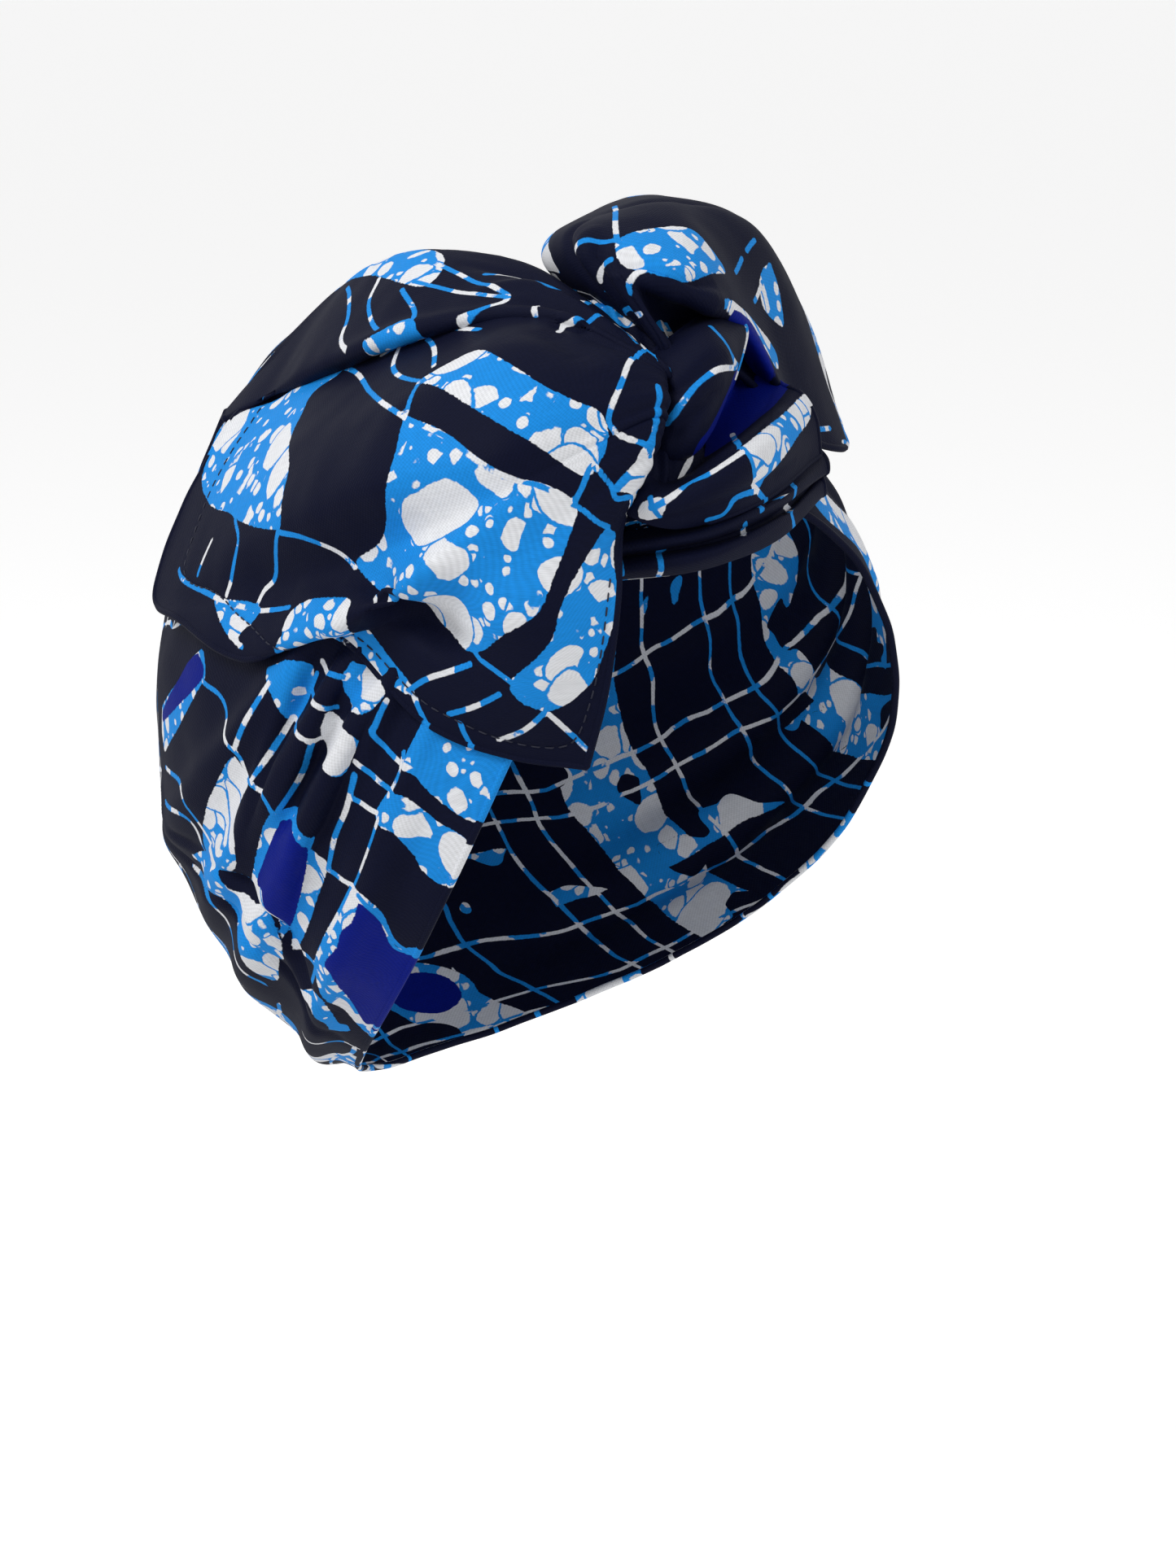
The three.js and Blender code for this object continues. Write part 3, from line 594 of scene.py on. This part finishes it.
def wax_print():
    """The print: navy ground, open areas of white bubbles in sky blue, lines of blue and white."""
    group, given, out = new_group(
        "wax print",
        [("Place", "NodeSocketVector", None), ("Line", "NodeSocketFloat", FAR_OFF),
         ("Open area", "NodeSocketFloat", -FAR_OFF), ("Royal area", "NodeSocketFloat", -FAR_OFF),
         ("White", "NodeSocketFloat", 0.0), ("Ground", "NodeSocketColor", NAVY)],
        [("Color", "NodeSocketColor")],
    )
    w = Wiring(group)
    place = given.outputs["Place"]
    ragged = w.noise(place, 900.0, 1.0).outputs["Fac"]
    ragged = w.math("MULTIPLY_ADD", ragged, 0.7, -0.35)
    bent = w.bent(place, 42.0, 0.009)

    def inked(distance):
        return w.step(distance, -INK_EDGE, INK_EDGE)

    # Bubbles: rounded cells of three sizes, as millimetres inside their edges, clear of the larger ones
    field = None
    for size, low, high, gap in BUBBLES:
        spread = {"Vector": bent, "Scale": 1000 / size, "Randomness": 0.92}
        cells = w.node("ShaderNodeTexVoronoi", spread)
        edges = w.node("ShaderNodeTexVoronoi", spread, feature="DISTANCE_TO_EDGE")
        luck = w.node("ShaderNodeSeparateColor", {"Color": cells.outputs["Color"]}).outputs["Red"]
        reach = w.math("MULTIPLY_ADD", luck, high - low, low)
        near = w.math("MULTIPLY_ADD", cells.outputs["Distance"], -size, reach)
        apart = w.math("MULTIPLY_ADD", edges.outputs["Distance"], size, -gap)
        blob = w.math("SMOOTH_MIN", near, apart, size * 0.16)
        blob = w.math("MULTIPLY_ADD", ragged, 0.8, blob)
        if field is None:
            field = blob
        else:
            clear = w.math("SUBTRACT", -0.6, field)
            field = w.math("MAXIMUM", field, w.math("MINIMUM", blob, clear))
    open_color = w.mix(inked(field), SKY, OFF_WHITE)

    opened = inked(w.math("ADD", given.outputs["Open area"], ragged))
    royal = inked(w.math("ADD", given.outputs["Royal area"], ragged))
    line_edge = w.math("MULTIPLY_ADD", ragged, 0.35, given.outputs["Line"])
    line = w.math("SUBTRACT", 1.0, inked(line_edge))
    whiteness = w.step(w.math("MULTIPLY_ADD", ragged, 1.5, given.outputs["White"]), 0.35, 0.6)
    tone = w.mix(whiteness, SKY, OFF_WHITE)

    color = w.mix(opened, given.outputs["Ground"], open_color)
    color = w.mix(royal, color, ROYAL)
    color = w.mix(line, color, tone)
    w.join(color, out.inputs["Color"])
    return group


def wavy_plaid():
    """Thin lines both ways, open stripes and royal blobs, as millimetres from their edges."""
    names = ("Line", "Open area", "Royal area", "White")
    group, given, out = new_group(
        "wavy plaid", [("Cloth", "NodeSocketVector", None)], [(name, "NodeSocketFloat") for name in names],
    )
    w = Wiring(group)
    cloth = given.outputs["Cloth"]
    bent = w.bent(w.bent(cloth, 0.016, 22.0), 0.06, 3.0)
    along, across, _ = w.node("ShaderNodeSeparateXYZ", {0: bent}).outputs

    def away(value, period, offset):
        shifted = w.math("SUBTRACT", value, offset)
        return w.math("ABSOLUTE", w.math("WRAP", shifted, period / 2, -period / 2))

    line = None
    for value, period, offsets in ((along, PLAID_ALONG, (0, 13, 58)), (across, PLAID_ACROSS, (4, 15, 52))):
        for offset in offsets:
            distance = away(value, period, offset)
            line = distance if line is None else w.math("MINIMUM", line, distance)
    line = w.math("SUBTRACT", line, LINE_WIDTH / 2)

    patches = w.math("MULTIPLY_ADD", w.noise(cloth, 0.03).outputs["Fac"], 130.0, -60.0)
    stripe = w.math("SUBTRACT", 12.0, away(along, PLAID_ALONG, 36))
    cross = w.math("SUBTRACT", 10.0, away(across, PLAID_ACROSS, 34))
    opened = w.math("MINIMUM", stripe, patches)
    opened = w.math("MAXIMUM", opened, w.math("MINIMUM", cross, w.math("MULTIPLY", patches, -1.0)))
    first, second = away(along, 2 * PLAID_ALONG, 36), away(across, 2 * PLAID_ACROSS, 66)
    blob = w.math("SQRT", w.math("MULTIPLY_ADD", first, first, w.math("MULTIPLY", second, second)))
    royal = w.math("SUBTRACT", 9.0, blob)
    opened = w.math("MAXIMUM", opened, w.math("ADD", royal, 4.0))
    waves = [w.math("SINE", w.math("MULTIPLY", value, rate)) for value, rate in ((along, 0.4), (across, 0.5))]
    for name, value in zip(names, (line, opened, royal, w.math("ADD", *waves))):
        w.join(value, out.inputs[name])
    return group


def plain_weave():
    """Threads over and under each other, with thicker ones here and there: a height, and painted shade that
    darkens the ink where the threads dip and lightens it on the thicker ones.
    """
    group, given, out = new_group(
        "plain weave",
        [("Cloth", "NodeSocketVector", None), ("Thread", "NodeSocketFloat", THREAD)],
        [("Height", "NodeSocketFloat"), ("Painted shade", "NodeSocketFloat")],
    )
    w = Wiring(group)
    cloth = given.outputs["Cloth"]
    parts = w.node("ShaderNodeSeparateXYZ", {0: cloth}).outputs
    turn = w.math("DIVIDE", math.pi, given.outputs["Thread"])
    one, two = (w.math("SINE", w.math("MULTIPLY", part, turn)) for part in (parts[0], parts[1]))
    height = w.math("MULTIPLY", w.math("MULTIPLY", one, two), 0.5)
    for stretch in ((0.16, 1.5, 1.0), (1.5, 0.16, 1.0)):
        long_way = w.node("ShaderNodeVectorMath", {0: cloth, 1: stretch}, operation="MULTIPLY")
        thick = w.noise(long_way.outputs[0], 1.0, 2.0).outputs["Fac"]
        height = w.math("ADD", height, w.math("SUBTRACT", thick, 0.5))
    w.join(height, out.inputs["Height"])
    # Painted shade: the ink is darkened where the threads dip and lightened where they rise or thicken
    w.join(w.math("MULTIPLY_ADD", height, 0.2, 0.99), out.inputs["Painted shade"])
    return group


PRINT_GROUP = wax_print()
PLAID_GROUP = wavy_plaid()
WEAVE_GROUP = plain_weave()


def printed_cotton(name):
    """Wax-print cotton: the print's inks with the weave's painted shade, a plain weave, and the soft gloss of
    waxed cloth.
    """
    material, w, shader = new_material(
        name, Sheen_Weight=0.006, Sheen_Roughness=0.4, Specular_IOR_Level=0.06,
    )
    place = w.node("ShaderNodeTexCoord").outputs["Object"]
    cloth = w.node("ShaderNodeUVMap", uv_map="cloth").outputs["UV"]
    edges = w.node("ShaderNodeAttribute", attribute_name="print_edges").outputs["Vector"]
    drawn = w.node("ShaderNodeSeparateXYZ", {0: edges}).outputs
    white = w.node("ShaderNodeAttribute", attribute_name="line_white").outputs["Fac"]
    made = w.node("ShaderNodeAttribute", attribute_name="plaid_share").outputs["Fac"]
    plaid = w.node("ShaderNodeGroup", {"Cloth": cloth}, node_tree=PLAID_GROUP).outputs

    # Drawn shapes give way to the plaid's where the plaid's share grows
    rest = w.math("SUBTRACT", 1.0, made)
    links = {"Place": place}
    for column, label, operation, away in (
        (0, "Line", "MINIMUM", 8.0), (1, "Open area", "MAXIMUM", -30.0), (2, "Royal area", "MAXIMUM", -30.0),
    ):
        first = w.math("MULTIPLY_ADD", made, away, drawn[column])
        links[label] = w.math(operation, first, w.math("MULTIPLY_ADD", rest, away, plaid[label]))
    links["White"] = w.math("ADD", w.math("MULTIPLY", white, rest), w.math("MULTIPLY", plaid["White"], made))
    ink = w.node("ShaderNodeGroup", links, node_tree=PRINT_GROUP).outputs["Color"]
    weave = w.node("ShaderNodeGroup", {"Cloth": cloth}, node_tree=WEAVE_GROUP).outputs
    # The ink takes the weave's painted shade, darker between the threads
    shaded_ink = w.node("ShaderNodeVectorMath", {0: ink, 3: weave["Painted shade"]}, operation="SCALE")
    w.join(shaded_ink.outputs[0], shader.inputs["Base Color"])
    bump = w.node("ShaderNodeBump", {"Strength": 0.5, "Distance": 0.0001, "Height": weave["Height"]})
    w.join(bump.outputs[0], shader.inputs["Normal"])
    worn = w.noise(place, 45.0, 3.0).outputs["Fac"]
    w.join(w.math("MULTIPLY_ADD", worn, 0.18, 0.52), shader.inputs["Roughness"])
    return material


def sewing_thread(name):
    """Dark blue two-ply sewing thread."""
    material, w, shader = new_material(name, Roughness=0.6)
    place = w.node("ShaderNodeTexCoord").outputs["Object"]
    ply = w.noise(place, 2400.0, 1.0).outputs["Fac"]
    w.join(w.mix(ply, THREAD_DARK, THREAD_LIGHT), shader.inputs["Base Color"])
    bump = w.node("ShaderNodeBump", {"Strength": 0.5, "Distance": 0.0001, "Height": ply})
    w.join(bump.outputs[0], shader.inputs["Normal"])
    return material


THREAD_INK = sewing_thread("navy sewing thread")
COTTON = printed_cotton("wax-print cotton")


# Meshes
def mesh_piece(name, points, faces, material, uv=None, values=None):
    """A mesh in metres from points in millimetres, with the print's values and the cloth's own measure."""
    mesh = bpy.data.meshes.new(name)
    mesh.from_pydata((points / 1000).tolist(), [], faces)
    mesh.polygons.foreach_set("use_smooth", np.ones(len(mesh.polygons), bool))
    if values is not None:
        edges = mesh.attributes.new("print_edges", "FLOAT_VECTOR", "POINT")
        edges.data.foreach_set("vector", values[:, :3].astype(np.float32).ravel())
        for column, label in ((3, "line_white"), (4, "plaid_share")):
            share = mesh.attributes.new(label, "FLOAT", "POINT")
            share.data.foreach_set("value", values[:, column].astype(np.float32))
    if uv is not None:
        layer = mesh.uv_layers.new(name="cloth")
        corners = np.empty(len(mesh.loops), np.int32)
        mesh.loops.foreach_get("vertex_index", corners)
        layer.data.foreach_set("uv", uv[corners].astype(np.float32).ravel())
    mesh.materials.append(material)
    mesh.update()
    piece = bpy.data.objects.new(name, mesh)
    bpy.context.scene.collection.objects.link(piece)
    return piece


def layer_faces(rows, columns, closed):
    """Quads of a net of rows by columns."""
    index = np.arange(rows * columns).reshape(rows, columns)
    if closed:
        index = np.concatenate((index, index[:, :1]), axis=1)
    corners = index[:-1, :-1], index[:-1, 1:], index[1:, 1:], index[1:, :-1]
    return np.stack([c.ravel() for c in corners], 1)


def rim_faces(face_edge, back_edge, ratio):
    """Faces between an edge of the face layer and the coarser edge of the back layer."""
    return [
        [*face_edge[i * ratio : (i + 1) * ratio + 1].tolist(), int(back_edge[i + 1]), int(back_edge[i])]
        for i in range(len(back_edge) - 1)
    ]


def cloth_faces(rows, columns, ratio, closed):
    """Faces of a closed cloth: the face layer, the back layer on every ratio-th vertex, and the rim."""
    face = np.arange(rows * columns).reshape(rows, columns)
    picked = face[::ratio, ::ratio]
    back = rows * columns + np.arange(picked.size).reshape(picked.shape)
    faces = layer_faces(rows, columns, closed).tolist()
    faces += (layer_faces(*back.shape, closed) + rows * columns)[:, ::-1].tolist()
    if closed:
        face, back = (np.concatenate((index, index[:, :1]), axis=1) for index in (face, back))
    faces += [f[::-1] for f in rim_faces(face[0], back[0], ratio)]
    faces += rim_faces(face[-1], back[-1], ratio)
    if not closed:
        faces += rim_faces(face[:, 0], back[:, 0], ratio)
        faces += [f[::-1] for f in rim_faces(face[:, -1], back[:, -1], ratio)]
    return faces, picked.ravel()


def cloth_measure(net):
    """Millimetres along the cloth each way from its middle, for the weave."""
    rows, columns = net.shape[:2]
    along = np.zeros((rows, columns))
    across = np.zeros((rows, columns))
    along[:, 1:] = np.cumsum(np.linalg.norm(np.diff(net, axis=1), axis=2), axis=1)
    across[1:] = np.cumsum(np.linalg.norm(np.diff(net, axis=0), axis=2), axis=0)
    along -= along[:, columns // 2 : columns // 2 + 1]
    across -= across[rows // 2]
    return np.stack((along, across), -1).reshape(-1, 2)


def even_steps(shape, low, high, count, cross, fixed_rows):
    """Count places from low to high that lie about evenly along the cloth at the given cross places."""
    fine = np.linspace(low, high, 400)
    steps = np.zeros(len(fine) - 1)
    for other in cross:
        other = np.full(len(fine), float(other))
        points = shape.at(other, fine) if fixed_rows else shape.at(fine, other)
        steps = np.maximum(steps, np.linalg.norm(np.diff(points, axis=0), axis=1))
    total = np.concatenate(([0], np.cumsum(steps)))
    return np.interp(np.linspace(0, total[-1], count), total, fine)


class Sheet:
    """A net of one shape: its places, its points with folds laid on, and its print values.

    The rows run the way that turns the dense face layer outwards.
    """

    def __init__(self, shape, stations, rows, seed, ripple=0.4, gather=None, creases=(), **prints):
        self.shape, self.columns, self.lines = shape, len(stations), len(rows)
        row_grid, station_grid = np.meshgrid(rows, stations, indexing="ij")
        self.places = np.stack((station_grid.ravel(), row_grid.ravel()), 1)
        flat = shape.at(self.places[:, 0], self.places[:, 1])
        normals = outward(flat.reshape(self.lines, self.columns, 3)).reshape(-1, 3)
        lift = ripple * (wander(flat, 34, seed) + 0.3 * wander(flat, 15, seed + 1))
        if gather:
            height, pleats_per_row, reach = gather
            station, row = self.places.T
            turn = 2 * np.pi * pleats_per_row * row + 1.9 * np.sin(1.3 * row) + 0.9 * np.sin(3.1 * row + seed)
            uneven = 0.6 + 0.4 * np.sin(1.9 * row + seed) + 0.3 * np.sin(5.3 * row)
            lift += height * uneven * np.cos(turn) * np.exp(-(((station - 0.9) / reach) ** 2))
        for depth, width, stops in creases:
            path, _, even = trace(shape, stops, 0.5)
            distance, which = nearest(flat, path)
            share = even[which] / even[-1]
            fade = np.clip(4 * np.minimum(share, 1 - share), 0, 1)
            lift += depth * np.exp(-((distance / width) ** 2)) * fade
        self.values = printed(shape, flat, self.places, seed=seed, **prints)
        self.flat, self.lift = flat, lift
        self.points = flat + normals * lift[:, None]
        self.net = self.points.reshape(self.lines, self.columns, 3)
        self.normals = outward(self.net).reshape(-1, 3)

    def piece(self, name, ratio, closed):
        """The cloth as two layers with a closed rim; the back layer is coarser by ratio."""
        faces, picked = cloth_faces(self.lines, self.columns, ratio, closed)
        half = self.normals * CLOTH_THICKNESS / 2
        points = np.concatenate((self.points + half, (self.points - half)[picked]))
        measure = cloth_measure(self.net)
        measure = np.concatenate((measure, measure[picked]))
        inner = self.values[picked].copy()
        inner[:, 4] = 1
        return mesh_piece(name, points, faces, COTTON, measure, np.concatenate((self.values, inner)))

    def edge(self, kind):
        """Indices of the net's vertices along an edge."""
        index = np.arange(self.lines * self.columns).reshape(self.lines, self.columns)
        return {"first row": index[0], "last row": index[-1], "end": index[:, -1]}[kind]

    def hem(self, name):
        """A wired hem along the first row, the end and the last row, from where the first row comes out."""
        index = np.concatenate((self.edge("first row"), self.edge("end"), self.edge("last row")[::-1]))
        steps = np.linalg.norm(np.diff(self.points[index], axis=0), axis=1)
        index = index[np.concatenate(([True], steps > 0.05))][TUCKED_STEPS:]
        return bead(name, self.points[index], self.values[index], False)


def bead(name, points, values, closed):
    """A round hem along points, with the print of the cloth that it edges."""
    ahead = np.roll(points, -1, 0) - np.roll(points, 1, 0)
    if not closed:
        ahead[0], ahead[-1] = points[1] - points[0], points[-1] - points[-2]
    ahead = unit(ahead)
    side = np.empty_like(points)
    side[0] = unit(np.cross(ahead[0], (0.3, 0.2, 1)))
    for i in range(1, len(points)):
        side[i] = unit(side[i - 1] - ahead[i] * (side[i - 1] @ ahead[i]))
    top = np.cross(ahead, side)
    turn = 2 * np.pi * np.arange(HEM_SIDES) / HEM_SIDES
    ring = side[:, None] * np.cos(turn)[None, :, None] + top[:, None] * np.sin(turn)[None, :, None]
    size = np.full(len(points), HEM_RADIUS)
    if not closed:
        size[0] = size[-1] = HEM_RADIUS * HEM_END
    skin = (points[:, None] + ring * size[:, None, None]).reshape(-1, 3)
    index = np.arange(len(points) * HEM_SIDES).reshape(len(points), HEM_SIDES)
    if closed:
        index = np.concatenate((index, index[:1]))
    index = np.concatenate((index, index[:, :1]), axis=1)
    quads = np.stack((index[:-1, :-1], index[1:, :-1], index[1:, 1:], index[:-1, 1:]), -1).reshape(-1, 4)
    faces = quads.tolist()
    if not closed:
        last = len(skin) - HEM_SIDES
        faces += [list(range(HEM_SIDES))[::-1], list(range(last, len(skin)))]
    length = np.concatenate(([0], np.cumsum(np.linalg.norm(np.diff(points, axis=0), axis=1))))
    uv = np.stack((np.repeat(length, HEM_SIDES), np.tile(turn * HEM_RADIUS, len(points))), 1)
    return mesh_piece(name, skin, faces, COTTON, uv, np.repeat(values, HEM_SIDES, 0))


def stitch_row(name, sheet, stops):
    """Topstitches along a path on the sheet, each a short round thread that dips in at its ends."""
    path, _, even = trace(sheet.shape, stops)
    _, which = nearest(path, sheet.flat)
    normals = sheet.normals[which]
    path = path + normals * sheet.lift[which, None]
    rise_and_dip = CLOTH_THICKNESS / 2 + np.array((-STITCH_DIP, STITCH_RISE, STITCH_RISE, -STITCH_DIP))
    turns = 2 * np.pi * np.arange(STITCH_SIDES) / STITCH_SIDES
    points, faces = [], []
    for start in np.arange(2, even[-1] - STITCH, STITCH + STITCH_GAP):
        at = start + STITCH * np.array((0, 0.18, 0.82, 1))
        spine = np.stack([np.interp(at, even, path[:, c]) for c in range(3)], 1)
        out = np.stack([np.interp(at, even, normals[:, c]) for c in range(3)], 1)
        spine = spine + out * rise_and_dip[:, None]
        side = unit(np.cross(spine[-1] - spine[0], out[0]))
        first = len(points) * STITCH_SIDES
        for p, o in zip(spine, out):
            points.append(p + STITCH_RADIUS * (side * np.cos(turns)[:, None] + o * np.sin(turns)[:, None]))
        faces += (layer_faces(len(spine), STITCH_SIDES, True) + first).tolist()
        last = len(points) * STITCH_SIDES
        faces += [list(range(first, first + STITCH_SIDES))[::-1], list(range(last - STITCH_SIDES, last))]
    return mesh_piece(name, np.concatenate(points), faces, THREAD_INK)


def wound_core(name):
    """The two ends of the strip twisted round each other, with the pleats that the twist draws in."""
    low, high = (on_head(*end) for end in KNOT_ENDS)
    axis = high - low
    out = unit(low + high)
    sideways = unit(np.cross(axis, out))
    forwards = unit(np.cross(axis, sideways))
    count, round_count = 150, 200
    places = np.linspace(0, len(KNOT_SECTIONS) - 1, count)
    table = spline_weights(len(KNOT_SECTIONS), places) @ np.array(KNOT_SECTIONS)
    along, width = (column[:, None] for column in table.T)
    turn = 2 * np.pi * np.arange(round_count)[None] / round_count
    wind = math.radians(KNOT_TWIST) * along
    size = width * KNOT_WIDTH / 2 * (1 + KNOT_LOBE * np.cos(2 * turn + wind))
    # Wide and narrow pleats that wind with the twist, drawn in a little under the CAD knot
    wide = np.sin(13 * turn + 3.1 * wind + np.sin(3 * turn))
    narrow = np.sin(22 * turn + 3.1 * wind)
    size += 0.5 * wide + 0.35 * narrow - 0.8
    points = low + axis * along[..., None] + size[..., None] * (
        sideways * np.cos(turn)[..., None] + forwards * np.sin(turn)[..., None]
    )
    faces = layer_faces(count, round_count, True)[:, ::-1].tolist()
    faces.append(list(range(round_count)))
    faces.append(list(range((count - 1) * round_count, count * round_count))[::-1])
    measure = np.broadcast_arrays(along * np.linalg.norm(axis), turn * KNOT_WIDTH / 2)
    measure = np.stack(measure, -1).reshape(-1, 2) + KNOT_PLAID_SHIFT
    values = np.tile((FAR_OFF, -FAR_OFF, -FAR_OFF, 0.0, 1.0), (count * round_count, 1))
    return mesh_piece(name, points.reshape(-1, 3), faces, COTTON, measure, values)


def settle(piece, *nodes):
    """The piece rides with the wrap and stands for its CAD node, which it hides."""
    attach(piece, "root")
    if nodes:
        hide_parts(*nodes)
    return piece


# Camera
def aim_camera():
    turn, height, lean = (math.radians(v) for v in (CAMERA_TURN, CAMERA_HEIGHT, CAMERA_LEAN))
    back = Vector((math.sin(turn) * math.cos(height), -math.cos(turn) * math.cos(height), math.sin(height)))
    right = (-back).cross(Vector((0, 0, 1))).normalized()
    up = right.cross(-back)
    right, up = (
        right * math.cos(lean) + up * math.sin(lean),
        up * math.cos(lean) - right * math.sin(lean),
    )
    data = bpy.data.cameras.new("camera")
    data.sensor_width = 36
    data.lens = LENS_PIXELS / PICTURE_HEIGHT * 36
    data.shift_x = (PICTURE_WIDTH / 2 - MIDDLE_X) / PICTURE_HEIGHT
    data.shift_y = (MIDDLE_Y - PICTURE_HEIGHT / 2) / PICTURE_HEIGHT
    data.clip_start = 0.01
    camera = bpy.data.objects.new("camera", data)
    camera.matrix_world = Matrix((
        (right.x, up.x, back.x, 0), (right.y, up.y, back.y, 0), (right.z, up.z, back.z, 0), (0, 0, 0, 1),
    ))
    camera.location = back * CAMERA_DISTANCE + CAMERA_AIM
    bpy.context.scene.collection.objects.link(camera)
    bpy.context.scene.camera = camera
    return back, right, up


back, right, up = aim_camera()


def opened_sheet(throat, folds, across, along, turned=False, **looks):
    """An opened end as a net, with its steps out from the throat and along the hem.

    A turned one has its rows backwards, which puts its face layer on the other side.
    """
    shape = Opened(opened_end(throat, folds))
    rows = even_steps(shape, *along, True)
    return Sheet(shape, even_steps(shape, *across, False), rows[::-1] if turned else rows, **looks)


# Pieces
near = opened_sheet(
    NEAR_THROAT, NEAR_FOLDS, (0.6, 4, 181, (2, 5, 7, 9)), (0, 13, 413, (2, 3, 4)), turned=True,
    seed=3, ripple=0.5, gather=(0.55, 0.9, 0.6), creases=NEAR_CREASES + ((-0.35, 0.8, NEAR_STITCHES),),
    lines=NEAR_PRINT_LINES, areas=NEAR_PRINT_AREAS, made=lambda station, row: rise(row, 11.3, 11.9),
)
far = opened_sheet(
    FAR_THROAT, FAR_FOLDS, (0.6, 6, 221, (1, 2, 3)), (-0.7, 5, 241, (3, 4, 5)),
    seed=5, gather=(0.6, 1.6, 0.8), creases=FAR_CREASES, lines=FAR_PRINT_LINES, areas=FAR_PRINT_AREAS,
    blobs=FAR_ROYAL_AREAS, made=lambda station, row: rise(row, 3.4, 3.8),
)
fold = opened_sheet(
    FOLD_THROAT, FRONT_FOLDS, (0.6, 4, 141, (1, 3, 8)), (0, 9, 231, (3, 4)),
    seed=7, ripple=0.3, creases=FOLD_CREASES, lines=FOLD_PRINT_LINES, areas=FOLD_PRINT_AREAS,
    blobs=FOLD_ROYAL_AREAS,
)
roll_shape = Opened(np.array([on_head(*line) for line in ROLL_LINES]))
roll = Sheet(
    roll_shape, np.linspace(0, 3, 141), even_steps(roll_shape, 0, 6, 91, (1, 2), True),
    seed=9, ripple=0.2, creases=ROLL_CREASES, lines=ROLL_PRINT_LINES,
)


def band_plaid(station, row):
    """The band's plaid fills the back, the forehead and the part that the wings lie over."""
    station = station % 360
    drawn = rise(station, 48, 54) * (1 - rise(station, 120, 127))
    drawn += rise(station, 284, 290) * (1 - rise(station, 338, 344))
    return np.maximum(1 - drawn, rise(row, 3.5, 3.8))


# From, to and how many stations: close together where the band shows in the picture
band_steps = ((45, 145, 230), (145, 284, 100), (284, 342, 100), (342, 405, 60))
band_stations = np.concatenate([np.linspace(*step, False) for step in band_steps])
band_rows = np.concatenate((np.linspace(0, 3.5, 144, False), np.linspace(3.5, 5, 37)))
band = Sheet(
    Band(), band_stations, band_rows[::-1],
    seed=11, creases=BAND_CREASES, lines=BAND_PRINT_LINES, areas=BAND_PRINT_AREAS, blobs=BAND_ROYAL_AREAS,
    made=band_plaid,
)

# Each row: node, sheet, width and length of its cut in metres, hold, what it lies on, inner layer's ratio
sheets = (
    ("near_wing", near, (0.24, 0.12), "gathered", ("head_band", "twist_knot"), 2),
    ("far_wing", far, (0.20, 0.08), "gathered", ("head_band", "twist_knot"), 2),
    ("front_fold", fold, (0.12, 0.05), "folded", ("twist_knot", "forehead_roll"), 2),
    ("forehead_roll", roll, (0.08, 0.05), "folded", ("head_band",), 2),
    ("head_band", band, (0.16, 0.56), "gathered", (), 3),
)
settle(wound_core("twist_knot_cloth"), "twist_knot")
for node, sheet, flat, held, rests_on, ratio in sheets:
    closed = node == "head_band"
    piece = settle(sheet.piece(node + "_cloth", ratio, closed), node)
    if closed:
        for edge, name in (("last row", "front"), ("first row", "rear")):
            index = sheet.edge(edge)
            hem = bead(node + "_hem_" + name, sheet.points[index], sheet.values[index], True)
            settle(hem)
    else:
        settle(sheet.hem(node + "_hem"))
    if node == "near_wing":
        settle(stitch_row(node + "_stitches", sheet, NEAR_STITCHES))

# Floor and light
PALE, WHITE = (0.86, 0.86, 0.86, 1), (1, 1, 1, 1)
FLOOR_REACH, FLOOR_LEVEL, FLOOR_GLOW = 60.0, -0.32, 0.5
floor_material, w, shader = new_material("studio floor", Base_Color=PALE, Roughness=0.9, Emission_Color=WHITE)
seen = w.node("ShaderNodeLightPath").outputs["Is Camera Ray"]
w.join(w.math("MULTIPLY", seen, FLOOR_GLOW), shader.inputs["Emission Strength"])
floor_mesh = bpy.data.meshes.new("studio_floor")
corners = [(x * FLOOR_REACH, y * FLOOR_REACH, FLOOR_LEVEL) for x, y in ((-1, -1), (1, -1), (1, 1), (-1, 1))]
floor_mesh.from_pydata(corners, [], [(0, 1, 2, 3)])
floor_mesh.materials.append(floor_material)
floor = bpy.data.objects.new("studio_floor", floor_mesh)
bpy.context.scene.collection.objects.link(floor)

world = bpy.data.worlds.new("studio")
bpy.context.scene.world = world
world.use_nodes = True
sky = next(n for n in world.node_tree.nodes if n.type == "BACKGROUND")
sky.inputs["Color"].default_value = WHITE
# Bright near the horizon, dimmer overhead
w = Wiring(world.node_tree)
way = w.node("ShaderNodeSeparateXYZ", {0: w.node("ShaderNodeTexCoord").outputs["Generated"]})
links = {"Value": way.outputs["Z"], "From Min": 0.3, "From Max": 0.75, "To Min": 0.86, "To Max": 0.3}
w.join(w.node("ShaderNodeMapRange", links).outputs["Result"], sky.inputs["Strength"])
bpy.context.scene.view_settings.view_transform = "Standard"


def soft_light(name, place, size, watts):
    data = bpy.data.lights.new(name, "AREA")
    data.size, data.energy = size, watts
    lamp = bpy.data.objects.new(name, data)
    lamp.location = place
    lamp.rotation_euler = (Vector((0, 0, 0.02)) - Vector(place)).to_track_quat("-Z", "Y").to_euler()
    bpy.context.scene.collection.objects.link(lamp)


soft_light("key", back * 0.9 + up * 0.9 - right * 0.8, 0.6, 10)
soft_light("fill", back * 0.8 + right * 1.2 + up * 0.2, 0.9, 3)
soft_light("top", Vector((0.1, 0.3, 1.2)), 0.8, 2.5)
